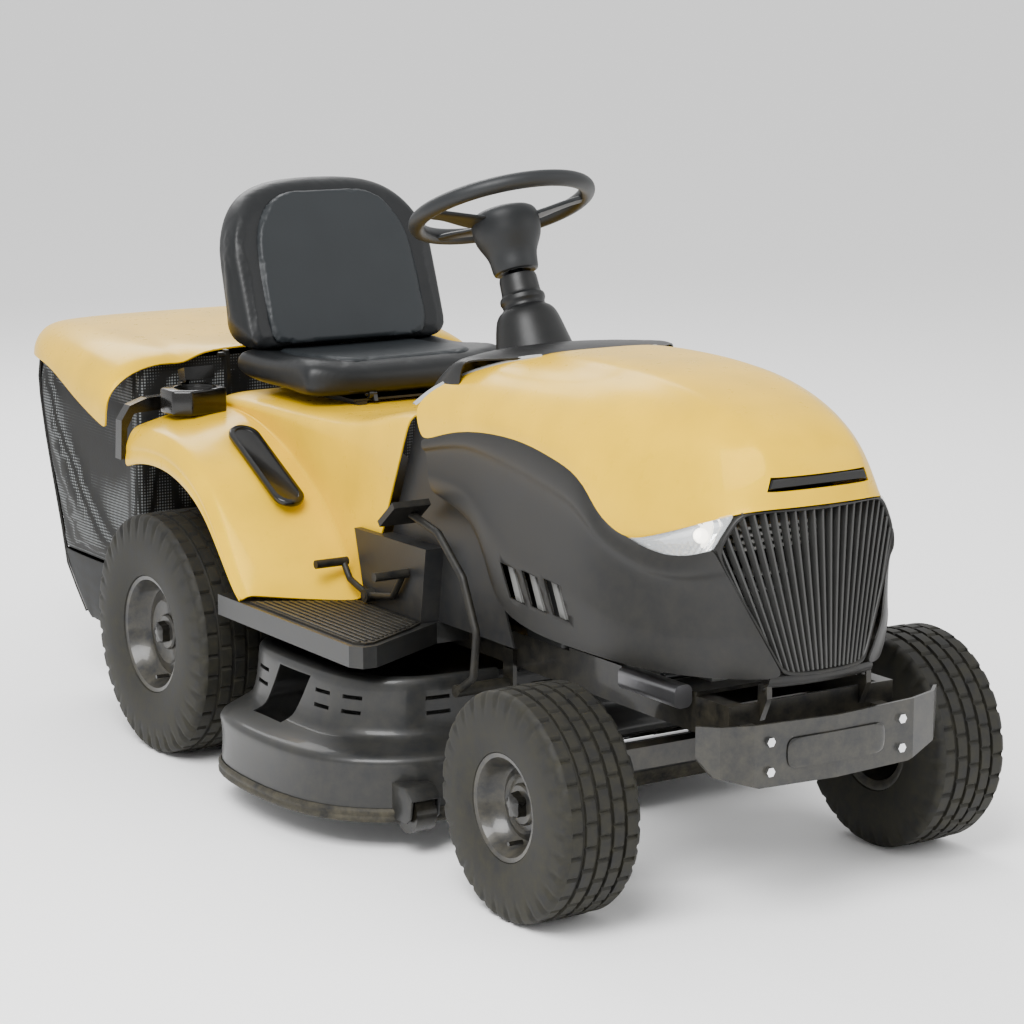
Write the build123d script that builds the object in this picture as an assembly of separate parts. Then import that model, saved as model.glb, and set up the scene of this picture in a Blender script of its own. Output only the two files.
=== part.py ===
from build123d import *
import math
import os

# Rear-collecting lawn tractor. Millimetres, +Z up, the machine drives towards -Y,
# +X is the driver's left. The origin is on the ground in the middle of the footprint.

# ---- driving dimensions ----
WHEELBASE = 1217.5
REAR_AXLE_Y = 350.0
FRONT_AXLE_Y = REAR_AXLE_Y - WHEELBASE
FRONT_HALF_TRACK = 374.7
REAR_HALF_TRACK = 380.0
RUN = 0.05             # radial running clearance of shafts and pins
GAP = 0.3              # clearance between pieces that move apart

FRONT_TYRE_R = 188.0
FRONT_TYRE_W = 149.0
FRONT_BEAD_R = 76.0
FRONT_FLANGE_R = 85.3
FRONT_FACE_X = 67.5
REAR_TYRE_R = 232.6
REAR_TYRE_W = 193.0
REAR_BEAD_R = 101.6
REAR_FLANGE_R = 110.0
REAR_FACE_X = 89.2
TYRE_WALL = 8.0
RIM_WALL = 3.5
STUB_R = 10.0
AXLE_SHAFT_R = 15.0

RAIL_X = 150.0         # rail centre from the middle plane
RAIL_W = 30.0
RAIL_WALL = 4.0
RAIL_LOW = 300.0
RAIL_TOP = 360.0
RAIL_FRONT_Y = -1080.0
RAIL_REAR_Y = 560.0
PLATE = 6.0            # thick steel plates of the frame

KINGPIN_X = 278.0
KINGPIN_R = 10.0
BEAM_PIVOT_Z = 235.0
BEAM_PIN_R = 10.0
STEER_ARM = 90.0
TIE_ROD_R = 7.0

BUMPER_HALF_W = 243.0
BUMPER_LOW = 238.0
BUMPER_TOP = 345.0
BUMPER_FRONT_Y = -1150.0
BUMPER_T = 5.0
BUMPER_BOLT_X = 132.0
BUMPER_BOLT_Z = (266.0, 314.0)

HOOD_HALF_W = 250.0
HOOD_WALL = 3.0
HINGE_Y = -1095.0
HINGE_Z = 382.0
HINGE_PIN_R = 5.0

FLOOR_Z = 356.0        # top of the footplates, under the body shell
FOOTPLATE_T = 38.0
MAT_T = 4.0
FENDER_HALF_W = 447.0
TUNNEL_HALF_W = 248.0
CONSOLE_HALF_W = 225.0
ARCH_R = 325.0
SKIN = 4.0             # wall of the moulded body shells
SEAT_DECK_Z = 676.0

COLUMN_TILT = 23.5     # steering column leans back from vertical, degrees
WHEEL_CENTRE = (0.0, -172.0, 1064.0)
WHEEL_RING_R = 157.4
WHEEL_TUBE_R = 15.0
COLUMN_R = 12.0
SPOKE_ANGLES = (-178.0, -18.5, 110.0)

SEAT_HALF_W = 230.0
SEAT_TOP_Z = 764.0
SEAT_LOW_Z = 692.0
SEAT_PIVOT_Y = 132.0
TRACK_H = 7.0
SLIDER_Z = SEAT_DECK_Z + TRACK_H + GAP
SEAT_PIVOT_Z = SLIDER_Z + 13.0
PAN_TOP_Z = SLIDER_Z + 26.0

DECK_HALF_W = 530.0
DECK_LOW = 66.0
DECK_SHELF_Z = 162.0
COVER_TOP_Z = 290.0
SHEET = 3.0
BRAKE_PIVOT_Y = -462.0
BRAKE_PIVOT_Z = 268.0
ROCKER_PIVOT_Y = -150.0
ROCKER_PIVOT_Z = 378.0
HANGER_PIN_Z = 330.0
HANGER_TOP_Z = 374.0
BELT_Z = 214.0
PULLEY_R = 62.0
BELT_T = 9.0
BLADE_X = 240.0
BLADE_R = 252.0
BLADE_Y = -215.0
BLADE_Z = 84.0
SPINDLE_R = 12.0
ROLLER_R = 36.0

LATCH_Y = 497.0
LATCH_Z = 684.0
DASH_SLOPE = ((-268.0, 806.0), (-215.0, 740.0))
THROTTLE_X = 130.0
THROTTLE_PIVOT_DEPTH = 22.0
PTO_X = -130.0
KEY_X = -90.0
KNOB_STEM_R = 6.0

BOLT_HEAD = 6.0
BOLT_SEAT = 3.8        # depth of the bolt heads' seat behind the bumper's foremost line
LID_REAR_Y = BOLT_HEAD - BOLT_SEAT - BUMPER_FRONT_Y
LID_PIVOT_Y = 566.0
LID_PIVOT_Z = 728.0
BAG_HALF_W = 378.0
HITCH_HOLE_R = 8.0
HITCH_T = 8.0


# ---- small helpers ----
def outline(points, origin, x_dir, z_dir):
    """A closed face through the points, in the plane given by its origin and directions."""
    return Plane(origin=origin, x_dir=x_dir, z_dir=z_dir) * make_face(Polyline(*points, close=True))


def side(points, x0, x1):
    """A side outline, points (y, z), drawn out along X."""
    return extrude(outline(points, (x0, 0, 0), (0, 1, 0), (1, 0, 0)), amount=x1 - x0, dir=(1, 0, 0))


def plan(points, z0, z1):
    """A plan outline, points (x, y), drawn out along Z."""
    return extrude(outline(points, (0, 0, z0), (1, 0, 0), (0, 0, 1)), amount=z1 - z0, dir=(0, 0, 1))


def front(points, y0, y1):
    """A front outline, points (x, z), drawn out along Y."""
    return extrude(outline(points, (0, y0, 0), (1, 0, 0), (0, -1, 0)), amount=y1 - y0, dir=(0, 1, 0))


def box(x0, x1, y0, y1, z0, z1):
    size = Box(x1 - x0, y1 - y0, z1 - z0)
    return Pos((x0 + x1) / 2, (y0 + y1) / 2, (z0 + z1) / 2) * size


def rod(start, end, radius):
    """A round bar from start to end."""
    a = Vector(*start)
    b = Vector(*end)
    middle = Plane(origin=(a + b) / 2, z_dir=b - a)
    return middle * Cylinder(radius, (b - a).length)


def twin(shape):
    """The shape and its mirror image across the middle plane."""
    return shape + mirror(shape, about=Plane.YZ)


def other_side(shape):
    return mirror(shape, about=Plane.YZ)


def mirrored(points):
    """The right half of a closed outline and its mirror image, points (x, other)."""
    return list(points) + [(-x, v) for x, v in reversed(points) if abs(x) > 1e-6]


def ring(profile, y, z):
    """A profile of (x, radius) points turned about the X axis and set at y, z."""
    face = make_face(Polyline(*profile, close=True))
    return Pos(0, y, z) * revolve(face, Axis.X, 360)


def on_column(distance):
    """A point on the steering column's axis, measured down from the wheel's centre."""
    tilt = math.radians(COLUMN_TILT)
    x, y, z = WHEEL_CENTRE
    return (x, y - distance * math.sin(tilt), z - distance * math.cos(tilt))


def column_plane(distance):
    tilt = math.radians(COLUMN_TILT)
    return Plane(origin=on_column(distance), x_dir=(1, 0, 0), z_dir=(0, math.sin(tilt), math.cos(tilt)))


def save(name, shape):
    solids = shape.solids()
    shape = solids[0] if len(solids) == 1 else Compound(children=list(solids))
    export_step(shape, f"parts/{name}.step")


# ---- chassis ----
def bumper_outer():
    return [(0, BUMPER_FRONT_Y), (160, BUMPER_FRONT_Y + 5), (215, BUMPER_FRONT_Y + 20),
            (BUMPER_HALF_W, BUMPER_FRONT_Y + 46)]


def bumper_band(inner_only=False):
    """Plan of the bumper plate, or of all that lies ahead of its inner face."""
    outer = bumper_outer()
    inner = [(0, BUMPER_FRONT_Y + BUMPER_T), (159, BUMPER_FRONT_Y + 5 + BUMPER_T),
             (212, BUMPER_FRONT_Y + 20 + BUMPER_T), (BUMPER_HALF_W - BUMPER_T, BUMPER_FRONT_Y + 49)]
    if inner_only:
        ahead = BUMPER_FRONT_Y - 60
        return mirrored(inner + [(300, BUMPER_FRONT_Y + 49), (300, ahead), (0, ahead)])
    return outer + inner[::-1]


def front_bumper():
    half = plan(bumper_band(), BUMPER_LOW - 20, BUMPER_TOP + 20)
    face = [(0, BUMPER_LOW), (150, BUMPER_LOW + 3), (222, BUMPER_LOW + 26), (BUMPER_HALF_W + 5,
                                                                             BUMPER_LOW + 66),
            (BUMPER_HALF_W + 5, BUMPER_TOP), (0, BUMPER_TOP - 6)]
    half = half & front(face, BUMPER_FRONT_Y - 20, BUMPER_FRONT_Y + 80)
    plate = twin(half)
    for x, z in bumper_bolt_places():
        plate -= rod((x, BUMPER_FRONT_Y - 20, z), (x, BUMPER_FRONT_Y + 60, z), 4.3)
    return plate


def bumper_bolt_places():
    return [(x, z) for x in (-BUMPER_BOLT_X, BUMPER_BOLT_X) for z in BUMPER_BOLT_Z]


def bumper_bolts():
    bolts = []
    for x, z in bumper_bolt_places():
        head_back = BUMPER_FRONT_Y + BOLT_SEAT
        head = Plane(origin=(x, head_back, z), x_dir=(1, 0, 0), z_dir=(0, -1, 0)) * extrude(
            RegularPolygon(8, 6), amount=BOLT_HEAD)
        shank = rod((x, head_back, z), (x, RAIL_FRONT_Y - PLATE - 10, z), 4.0)
        bolts.append(head + shank)
    result = bolts[0]
    for bolt in bolts[1:]:
        result += bolt
    return result


def bumper_arm():
    arm = box(BUMPER_BOLT_X - 12, BUMPER_BOLT_X + 12, BUMPER_FRONT_Y - 10, RAIL_FRONT_Y - PLATE,
              BUMPER_BOLT_Z[0] - 14, BUMPER_BOLT_Z[1] + 14)
    arm -= plan(bumper_band(inner_only=True), BUMPER_LOW - 30, BUMPER_TOP + 30)
    for z in BUMPER_BOLT_Z:
        arm -= rod((BUMPER_BOLT_X, BUMPER_FRONT_Y - 20, z), (BUMPER_BOLT_X, RAIL_FRONT_Y, z), 4.3)
    return arm


def rail():
    outside = RAIL_X + RAIL_W / 2
    inside = RAIL_X - RAIL_W / 2
    bar = box(inside, outside, RAIL_FRONT_Y, RAIL_REAR_Y, RAIL_LOW, RAIL_TOP)
    return bar - box(inside, outside - RAIL_WALL, RAIL_FRONT_Y - 1, RAIL_REAR_Y + 1,
                     RAIL_LOW + RAIL_WALL, RAIL_TOP - RAIL_WALL)


def frame_rails():
    web = RAIL_X + RAIL_W / 2 - RAIL_WALL
    frame = twin(rail())
    frame += box(-RAIL_X - 15, RAIL_X + 15, RAIL_FRONT_Y - PLATE, RAIL_FRONT_Y, BUMPER_LOW + 12, RAIL_TOP)
    frame += twin(bumper_arm())
    for y in (-600, -480, -215, 470):
        frame += box(-web, web, y - 18, y + 18, RAIL_LOW + 8, RAIL_TOP - 10)
    frame += box(-RAIL_X - 15, RAIL_X + 15, -1000, -640, RAIL_TOP, RAIL_TOP + PLATE)
    # front axle bracket with its pivot pin
    frame += box(-web, web, FRONT_AXLE_Y - 40, FRONT_AXLE_Y + 40, RAIL_LOW, RAIL_LOW + PLATE)
    for y in (FRONT_AXLE_Y - 31 - GAP - PLATE, FRONT_AXLE_Y + 31 + GAP):
        frame += box(-55, 55, y, y + PLATE, BEAM_PIVOT_Z - 26, RAIL_LOW)
    frame += rod((0, FRONT_AXLE_Y - 42, BEAM_PIVOT_Z), (0, FRONT_AXLE_Y + 42, BEAM_PIVOT_Z), BEAM_PIN_R)
    # bush of the steering shaft
    frame += column_plane(755) * Cylinder(20, 50)
    frame -= column_plane(702) * Cylinder(COLUMN_R + RUN, 100)
    # hood hinge lugs
    for x in (-105, 95):
        lug = side([(RAIL_FRONT_Y, RAIL_TOP - 30), (RAIL_FRONT_Y, HINGE_Z + 6), (HINGE_Y + 4, HINGE_Z + 9),
                    (HINGE_Y - 8, HINGE_Z + 6), (HINGE_Y - 9, HINGE_Z - 14),
                    (RAIL_FRONT_Y - PLATE, RAIL_TOP - 30)], x, x + 10)
        frame += lug - rod((x - 1, HINGE_Y, HINGE_Z), (x + 11, HINGE_Y, HINGE_Z), HINGE_PIN_R + RUN)
    # brake pedal bracket, drive pedal pins, deck hanger pins
    frame += box(-RAIL_X - 23, -RAIL_X - 15, BRAKE_PIVOT_Y - 16, BRAKE_PIVOT_Y + 16, 250, 330)
    frame += rod((-RAIL_X - 15, BRAKE_PIVOT_Y, BRAKE_PIVOT_Z), (-RAIL_X - 55, BRAKE_PIVOT_Y,
                                                                BRAKE_PIVOT_Z), 6)
    for x, y in deck_hanger_places():
        reach = math.copysign(RAIL_X - RAIL_W / 2 - 14, x)
        frame += rod((reach, y, HANGER_PIN_Z), (math.copysign(web, x), y, HANGER_PIN_Z), 5)
    return frame


def deck_hanger_places():
    return [(x, y) for x in (-127, 127) for y in (-400, -30)]


def rear_plate():
    plate = box(-215, 215, RAIL_REAR_Y, RAIL_REAR_Y + PLATE, 255, 610)
    plate -= box(-122, 122, RAIL_REAR_Y - 1, RAIL_REAR_Y + PLATE + 1, 372, 556)
    upright = side([(RAIL_REAR_Y, 560), (RAIL_REAR_Y + PLATE, 560), (RAIL_REAR_Y + PLATE, 690),
                    (LID_PIVOT_Y + 10, LID_PIVOT_Z - 8), (LID_PIVOT_Y + 8, LID_PIVOT_Z + 10),
                    (LID_PIVOT_Y - 8, LID_PIVOT_Z + 10), (RAIL_REAR_Y - 6, 690)], 180, 188)
    pin = rod((180, LID_PIVOT_Y, LID_PIVOT_Z), (202, LID_PIVOT_Y, LID_PIVOT_Z), 6)
    plate += twin(upright + pin)
    tow = plan(mirrored([(0, RAIL_REAR_Y + PLATE), (60, RAIL_REAR_Y + PLATE), (45, RAIL_REAR_Y + 48),
                         (0, RAIL_REAR_Y + 56)]), 262, 262 + HITCH_T)
    tow -= Pos(0, RAIL_REAR_Y + 34, 262 + HITCH_T / 2) * Cylinder(HITCH_HOLE_R, HITCH_T * 2)
    return plate + tow


def engine_block():
    block = box(-105, 105, -960, -720, RAIL_TOP + PLATE, 500)
    block += Pos(0, -840, 520) * Cylinder(95, 40) + Pos(0, -840, 534) * Cylinder(118, 12)
    for x in (-1, 1):
        cylinder_side = box(x * 150 - 45, x * 150 + 45, -900, -800, 400, 480)
        for k in range(5):
            z = 404 + k * 16
            cylinder_side -= box(x * 150 - 46, x * 150 + 46, -901, -880, z, z + 6)
        block += cylinder_side
    return block


def engine_shroud():
    cover = Pos(0, -840, 575) * Cylinder(120, 70)
    cover -= Pos(0, -840, 570) * Cylinder(116, 66)
    for k in range(12):
        cover -= Pos(0, -840, 0) * Rot(0, 0, 30 * k) * box(30, 100, -5, 5, 600, 620)
    return cover


def muffler():
    can = box(-202, -168, -993, -837, 341, 379)
    can = fillet(can.edges().filter_by(Axis.Y), 12)
    pipe = rod((-170, -915, 374), (-105, -915, 374), 7)
    return can + pipe


def fuel_tank():
    tank = box(-165, 165, -628, -500, RAIL_TOP + GAP, 560)
    tank = fillet(tank.edges().filter_by(Axis.Z), 14)
    tank = chamfer(tank.edges().group_by(Axis.Z)[-1], 6)
    tank += Pos(0, -564, 572) * Cylinder(30, 26)
    return tank


def battery():
    tray = box(138, 240, -44, 134, RAIL_TOP, RAIL_TOP + 4)
    case = box(142, 236, -40, 130, RAIL_TOP + 4, 520)
    posts = Pos(160, -20, 526) * Cylinder(9, 12) + Pos(160, 110, 526) * Cylinder(9, 12)
    return case + posts + tray


def transaxle():
    z = REAR_TYRE_R
    case = box(-78, 78, REAR_AXLE_Y - 75, REAR_AXLE_Y + 75, z - 58, z + 50)
    case = fillet(case.edges().filter_by(Axis.X), 14)
    tube_end = REAR_HALF_TRACK - REAR_TYRE_W / 2 - 16
    tubes = rod((-tube_end, REAR_AXLE_Y, z), (tube_end, REAR_AXLE_Y, z), 25)
    case += tubes
    for x in (-RAIL_X, RAIL_X):
        case += box(x - 15, x + 15, REAR_AXLE_Y - 24, REAR_AXLE_Y + 24, z, RAIL_LOW)
    for sign in (-1, 1):
        case -= rod((sign * 80, REAR_AXLE_Y, z), (sign * (tube_end + 1), REAR_AXLE_Y, z), AXLE_SHAFT_R + RUN)
    case += Pos(0, REAR_AXLE_Y - 30, z + 56) * Cylinder(55, 12)
    return case


def discharge_chute():
    """Sheet duct that carries the cut grass from the deck, between the rails, to the rear plate."""
    def duct(grow, longer):
        return side([(-60 - longer, 196 - grow), (120, 296 - grow), (480, 376 - grow),
                     (RAIL_REAR_Y + longer, 376 - grow), (RAIL_REAR_Y + longer, 552 + grow),
                     (440, 540 + grow), (60, 420 + grow), (-60 - longer, 372 + grow)],
                    -116 - grow, 116 + grow)
    foot = box(-100, 100, 462, 478, RAIL_TOP - 10, 374)
    return duct(SHEET, 0) + foot - duct(0, 5)


# ---- cab: console, dash, body, footplates ----
def dash_console():
    """Moulded tower under the dash, open below, towards the body and at its low front."""
    half = CONSOLE_HALF_W
    outer = [(-250, 716), (-104, FLOOR_Z), (-560, FLOOR_Z), (-470, 560), (-330, 640), (-300, 716)]
    inner = [(-240, 716 - SKIN), (-90, FLOOR_Z - 6), (-556, FLOOR_Z - 6), (-466, 560 - SKIN),
             (-330 + SKIN, 640 - SKIN), (-300 + SKIN, 716 - SKIN)]
    shell = side(outer, -half, half) - side(inner, -half + SKIN, half - SKIN)
    shell -= box(-RAIL_X - 15 - GAP, RAIL_X + 15 + GAP, -700, 0, FLOOR_Z - 20, RAIL_TOP + GAP)
    shell -= column_plane(440) * Cylinder(2 * COLUMN_R, 400)
    return shell - box(-half + SKIN, half - SKIN, -600, -420, 300, 562)


def dash_panel():
    half = [(0, -484), (116, -484), (190, -430), (220, -400), (224, -262), (150, -222), (0, -222)]
    top = [(-500, 720), (-500, 834), (-400, 830), (-330, 846)] + list(DASH_SLOPE) + [(-215, 720)]
    shell = plan(mirrored(half), 700, 900) & side(top, -300, 300)
    inner_half = [(0, -480), (114, -480), (186, -427), (216, -397), (220, -265), (148, -226), (0, -226)]
    inner_top = [(y, z - SKIN) for y, z in top]
    inner = plan(mirrored(inner_half), 690, 900) & side(inner_top, -300, 300)
    neck = column_plane(255) * Cylinder(74, 150)
    neck_hollow = column_plane(261) * Cylinder(70, 150)
    shell = (shell - inner - column_plane(300) * Cylinder(70, 260)) + (neck - neck_hollow - inner)
    collar = column_plane(177) * Cylinder(40, 14)
    shell += collar
    shell -= column_plane(240) * Cylinder(COLUMN_R + RUN, 300)
    shell -= box(-400, 400, -600, 0, 600, 716.3) + box(-400, 400, -258, 0, 600, 723.3)
    for x in (PTO_X, KEY_X):
        shell -= slope_plane(x, 0) * Cylinder(KNOB_STEM_R + RUN, 20)
    shell -= slope_plane(THROTTLE_X, 0) * Box(9, 36, 20)
    return shell + throttle_bracket()


def body_profiles(down):
    tunnel = [(-250, 722), (-190, 716), (-100, 692), (40, SEAT_DECK_Z), (440, SEAT_DECK_Z), (482, 664),
              (482, FLOOR_Z), (-102, FLOOR_Z)]
    fender = [(482, 646), (350, 642), (270, 624), (150, 575), (60, 528), (0, 456), (-60, 380),
              (-100, FLOOR_Z), (482, FLOOR_Z)]
    lower = [(y, z - down if z > FLOOR_Z else z - 1) for y, z in tunnel]
    lower_fender = [(y, z - down if z > FLOOR_Z else z - 1) for y, z in fender]
    return (tunnel, fender) if down == 0 else (lower, lower_fender)


def rear_body():
    tunnel, fender = body_profiles(0)
    fender_plan = [(TUNNEL_HALF_W, 482), (FENDER_HALF_W, 482), (FENDER_HALF_W, 16), (340, -54),
                   (TUNNEL_HALF_W, -98)]
    outer = side(tunnel, -TUNNEL_HALF_W, TUNNEL_HALF_W)
    wing = side(fender, TUNNEL_HALF_W, FENDER_HALF_W) & plan(fender_plan, 300, 700)
    inner_tunnel, inner_fender = body_profiles(SKIN)
    inner_plan = [(TUNNEL_HALF_W - 1, 478), (FENDER_HALF_W - SKIN, 478), (FENDER_HALF_W - SKIN, 18),
                  (338, -49), (TUNNEL_HALF_W - 1, -93)]
    hollow = side([(y + (9 if y < 400 and z < 700 else 0), z) if z <= FLOOR_Z else (y, z)
                   for y, z in inner_tunnel], -TUNNEL_HALF_W + SKIN, TUNNEL_HALF_W - SKIN)
    wing_hollow = side(inner_fender, TUNNEL_HALF_W, FENDER_HALF_W + 10) & plan(inner_plan, 300, 700)
    arch = rod((TUNNEL_HALF_W + 20, REAR_AXLE_Y, REAR_TYRE_R), (FENDER_HALF_W + 20, REAR_AXLE_Y,
                                                                REAR_TYRE_R),
               ARCH_R)
    arch &= box(TUNNEL_HALF_W + 20, FENDER_HALF_W + 20, 30, 490, 100, 600)
    wing = wing - wing_hollow - arch
    shell = outer - hollow + twin(wing)
    shell -= box(-TUNNEL_HALF_W + SKIN, TUNNEL_HALF_W - SKIN, -300, 500, 0, 360.3)
    shell -= box(-TUNNEL_HALF_W + SKIN, TUNNEL_HALF_W - SKIN, 470, 490, 0, 640)
    shell -= side([(-300, 712), (-240, 712), (-92, FLOOR_Z - 2), (-300, FLOOR_Z - 2)],
                  -TUNNEL_HALF_W + SKIN, TUNNEL_HALF_W - SKIN)
    return shell


def rear_trim():
    """Black band that closes the gap between the body and the grass collector."""
    half = [(262, 650), (262, 676), (400, 668), (436, 656), (455, 628), (458, 552), (446, 552), (443, 612),
            (428, 640)]
    band = front(half, 482, 508)
    return twin(band) + latch_boss()


def fender_mouldings():
    """The oblong pads on both fenders and the cup holder on the right one."""
    inset = side([(40, 505), (150, 560), (262, 610), (262, 632), (225, 630), (140, 590), (60, 548), (30,
                                                                                                     522)],
                 286, 348)
    _, fender = body_profiles(0)
    inset -= side(fender, 200, 460)
    inset = twin(inset)
    cup = plan([(-384, 400), (-384, 458), (-352, 478), (-268, 478), (-262, 440), (-268, 394), (-352, 380)],
               641, 690)
    cup -= side(fender, -460, -200)
    cup -= Pos(-322, 430, 672) * Cylinder(36, 50)
    return inset + cup


def footplate_plan(inset=0.0):
    i = inset
    return [(450 - i, 96 - i), (450 - i, -392 + i), (436 - i, -416 + i), (410 - i, -418 + i),
            (232 + i * 0.5, -322 + i), (RAIL_X + 15 + i, -322 + i), (RAIL_X + 15 + i, 96 - i)]


def footplates():
    plate = plan(footplate_plan(), FLOOR_Z - FOOTPLATE_T, FLOOR_Z)
    plate -= plan(footplate_plan(6), FLOOR_Z - FOOTPLATE_T - 1, FLOOR_Z - 6)
    return twin(plate)


def foot_mats():
    mat = plan([(438, -10), (438, -386), (426, -404), (408, -405), (300, -346), (266, -322), (266, -104),
                (342, -66)], FLOOR_Z, FLOOR_Z + MAT_T)
    return twin(mat)


def pedal_pedestals():
    block = side([(-84, 490), (-335, 492), (-316, FLOOR_Z), (-122, FLOOR_Z)], 225, 262)
    tunnel, _ = body_profiles(0)
    block -= side(tunnel, -TUNNEL_HALF_W, TUNNEL_HALF_W)
    pin = rod((261, ROCKER_PIVOT_Y, ROCKER_PIVOT_Z), (282, ROCKER_PIVOT_Y, ROCKER_PIVOT_Z), 6)
    right = other_side(block + pin)
    return block + right


# ---- hood ----
def hood_front_outline(inset=0.0):
    i = inset
    return mirrored([(0, 848 - i), (118, 844 - i), (205, 815 - i), (238 - i * 0.6, 778 - i),
                     (HOOD_HALF_W - i, 735 - i), (HOOD_HALF_W - i, 300), (0, 300)])


def hood_plan_outline(inset=0.0):
    i = inset
    return mirrored([(0, -1150 + i), (112 - i * 0.4, -1148 + i), (150 - i * 0.7, -1105 + i),
                     (216 - i * 0.8, -1010 + i * 0.7), (HOOD_HALF_W - i, -880), (HOOD_HALF_W - i, -276),
                     (0, -276)])


def hood_mass(inset=0.0):
    """The hood as a full body. An inset body also runs out through the open bottom edge."""
    i = inset
    run_out = 2.0 if inset > 0 else 0.0
    profile = [(-278, 745 - i), (-488, 842 - i), (-752, 850 - i), (-965, 818 - i), (-1052, 786 - i),
               (-1096 + i, 735 - i), (-1102 + i, 668), (-1149 + i, 430), (-1120 + i, 398 - run_out),
               (-890, 372 - run_out), (-276, 372 - run_out)]
    mass = side(profile, -HOOD_HALF_W, HOOD_HALF_W)
    mass = mass & front(hood_front_outline(inset), -1200, -200)
    return mass & plan(hood_plan_outline(inset), 300, 900)


def yellow_region():
    """Side outline of the painted top shell, above the grey side panels and the grille."""
    return [(-270, 900), (-270, 738), (-309, 682), (-452, 721), (-617, 728), (-800, 693), (-828, 638),
            (-880, 606), (-1072, 655), (-1074, 668), (-1200, 668), (-1200, 900)]


def panel_region():
    return [(-309, 682), (-452, 721), (-617, 728), (-800, 693), (-828, 638), (-880, 606), (-1072, 655),
            (-1074, 668), (-1200, 668), (-1200, 390), (-1118, 394), (-900, 396), (-745, 424), (-690, 402),
            (-544, 433), (-476, 565), (-341, 594)]


def hood_shell():
    shell = hood_mass() - hood_mass(HOOD_WALL)
    shell &= side(yellow_region(), -300, 300)
    shell -= plan(mirrored([(0, -486), (118, -486), (192, -432), (223, -402), (228, -260), (0, -260)]),
                  600, 900)
    slot = front([(-101, 696), (101, 696), (90, 717), (-90, 717)], -1120, -1060)
    return shell - slot


def grille_cut(grow=0.0):
    points = mirrored([(0, 664 + grow), (144 + grow, 664 + grow), (177 + grow, 605), (78 + grow, 424 - grow),
                       (0, 418 - grow)])
    return front(points, -1170, -1040)


def headlight_cut():
    """Region of the left headlight, cut square to the side and the front."""
    return side([(-874, 604), (-1073, 655), (-1062, 606), (-1010, 586), (-930, 584)], 150, 300)


def side_panel():
    shell = hood_mass() - hood_mass(HOOD_WALL)
    shell &= side(panel_region(), 0, 300)
    shell -= grille_cut()
    shell -= headlight_cut()
    shell -= box(-300, 60, -1200, -200, 300, 900)
    for k in range(3):
        y = -566 - k * 66
        z = 490 - k * 6
        shell -= side([(y, z + 16), (y - 46, z + 10), (y - 74, z - 46), (y - 28, z - 40)], 200, 300)
    slats = side([(-556, 512), (-760, 490), (-800, 420), (-590, 440)], HOOD_HALF_W - HOOD_WALL - 2,
                 HOOD_HALF_W - HOOD_WALL)
    return shell + slats


def grille():
    """Grille insert with its frame, slats, the nose below it and the hinge straps."""
    skin = hood_mass() - hood_mass(HOOD_WALL)
    nose = skin & front(mirrored([(0, 668), (60, 668), (60, 392), (0, 392)]), -1170, -1040)
    nose = nose & side([(-1200, 668), (-1074, 668), (-1074, 390), (-1200, 390)], -300, 300)
    nose -= grille_cut()
    inner = hood_mass(HOOD_WALL)
    deep = hood_mass(HOOD_WALL + 16)
    slats = None
    for k in range(-8, 9):
        top = k * 17.2
        low = k * 8.6
        bar = front([(top - 2, 664), (top + 2, 664), (low + 2, 418), (low - 2, 418)], -1170, -1040)
        slats = bar if slats is None else slats + bar
    frame = grille_cut(8) - grille_cut(-6)
    body = (slats & grille_cut(2)) + frame
    body = body & (inner - deep)
    body = body & box(-300, 300, -1200, -1000, 300, 672)
    strap = side([(HINGE_Y - 9, HINGE_Z - 9), (HINGE_Y + 9, HINGE_Z - 9), (HINGE_Y + 9, HINGE_Z + 9),
                  (HINGE_Y + 2, 446), (-1141, 446), (-1144, 430), (-1116, 401)], 84, 95 - GAP)
    below = box(80, 100, HINGE_Y - 9, HINGE_Y + 9, HINGE_Z - 9, 404)
    strap = strap & (inner + below)
    pin = rod((84, HINGE_Y, HINGE_Z), (108, HINGE_Y, HINGE_Z), HINGE_PIN_R)
    return body + nose + twin(strap + pin)


def headlight_lens():
    lens = hood_mass() - hood_mass(HOOD_WALL)
    return lens & side([(-875, 604), (-1072.7, 654.7), (-1062, 606.3), (-1010, 586.3), (-930, 584.3)], 150,
                       300)


def headlight_lamp():
    bowl = side([(-900, 600), (-1036, 640), (-1030, 604), (-1000, 592), (-930, 590)], 150, 235)
    bowl = bowl & hood_mass(HOOD_WALL)
    bowl -= side([(-910, 600), (-1030, 635), (-1024, 607), (-998, 596), (-934, 594)], 160, 300) & hood_mass(
        HOOD_WALL + 30)
    return bowl


# ---- steering ----
def steering_wheel():
    plane = column_plane(0)
    rim = plane * Torus(WHEEL_RING_R, WHEEL_TUBE_R)
    hub = column_plane(52) * Cylinder(60, 84) + column_plane(108) * Cylinder(42, 36)
    for angle in SPOKE_ANGLES:
        spoke = plane * Rot(0, 0, angle) * Pos(100, 0, -14) * Box(112, 36, 12)
        hub += spoke
    inner = plane * Cylinder(WHEEL_RING_R, 300)
    wheel = rim + (hub & inner)
    wheel -= column_plane(90) * Cylinder(COLUMN_R, 130)
    return wheel


def steering_shaft():
    return column_plane(390) * Cylinder(COLUMN_R, 720)


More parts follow.
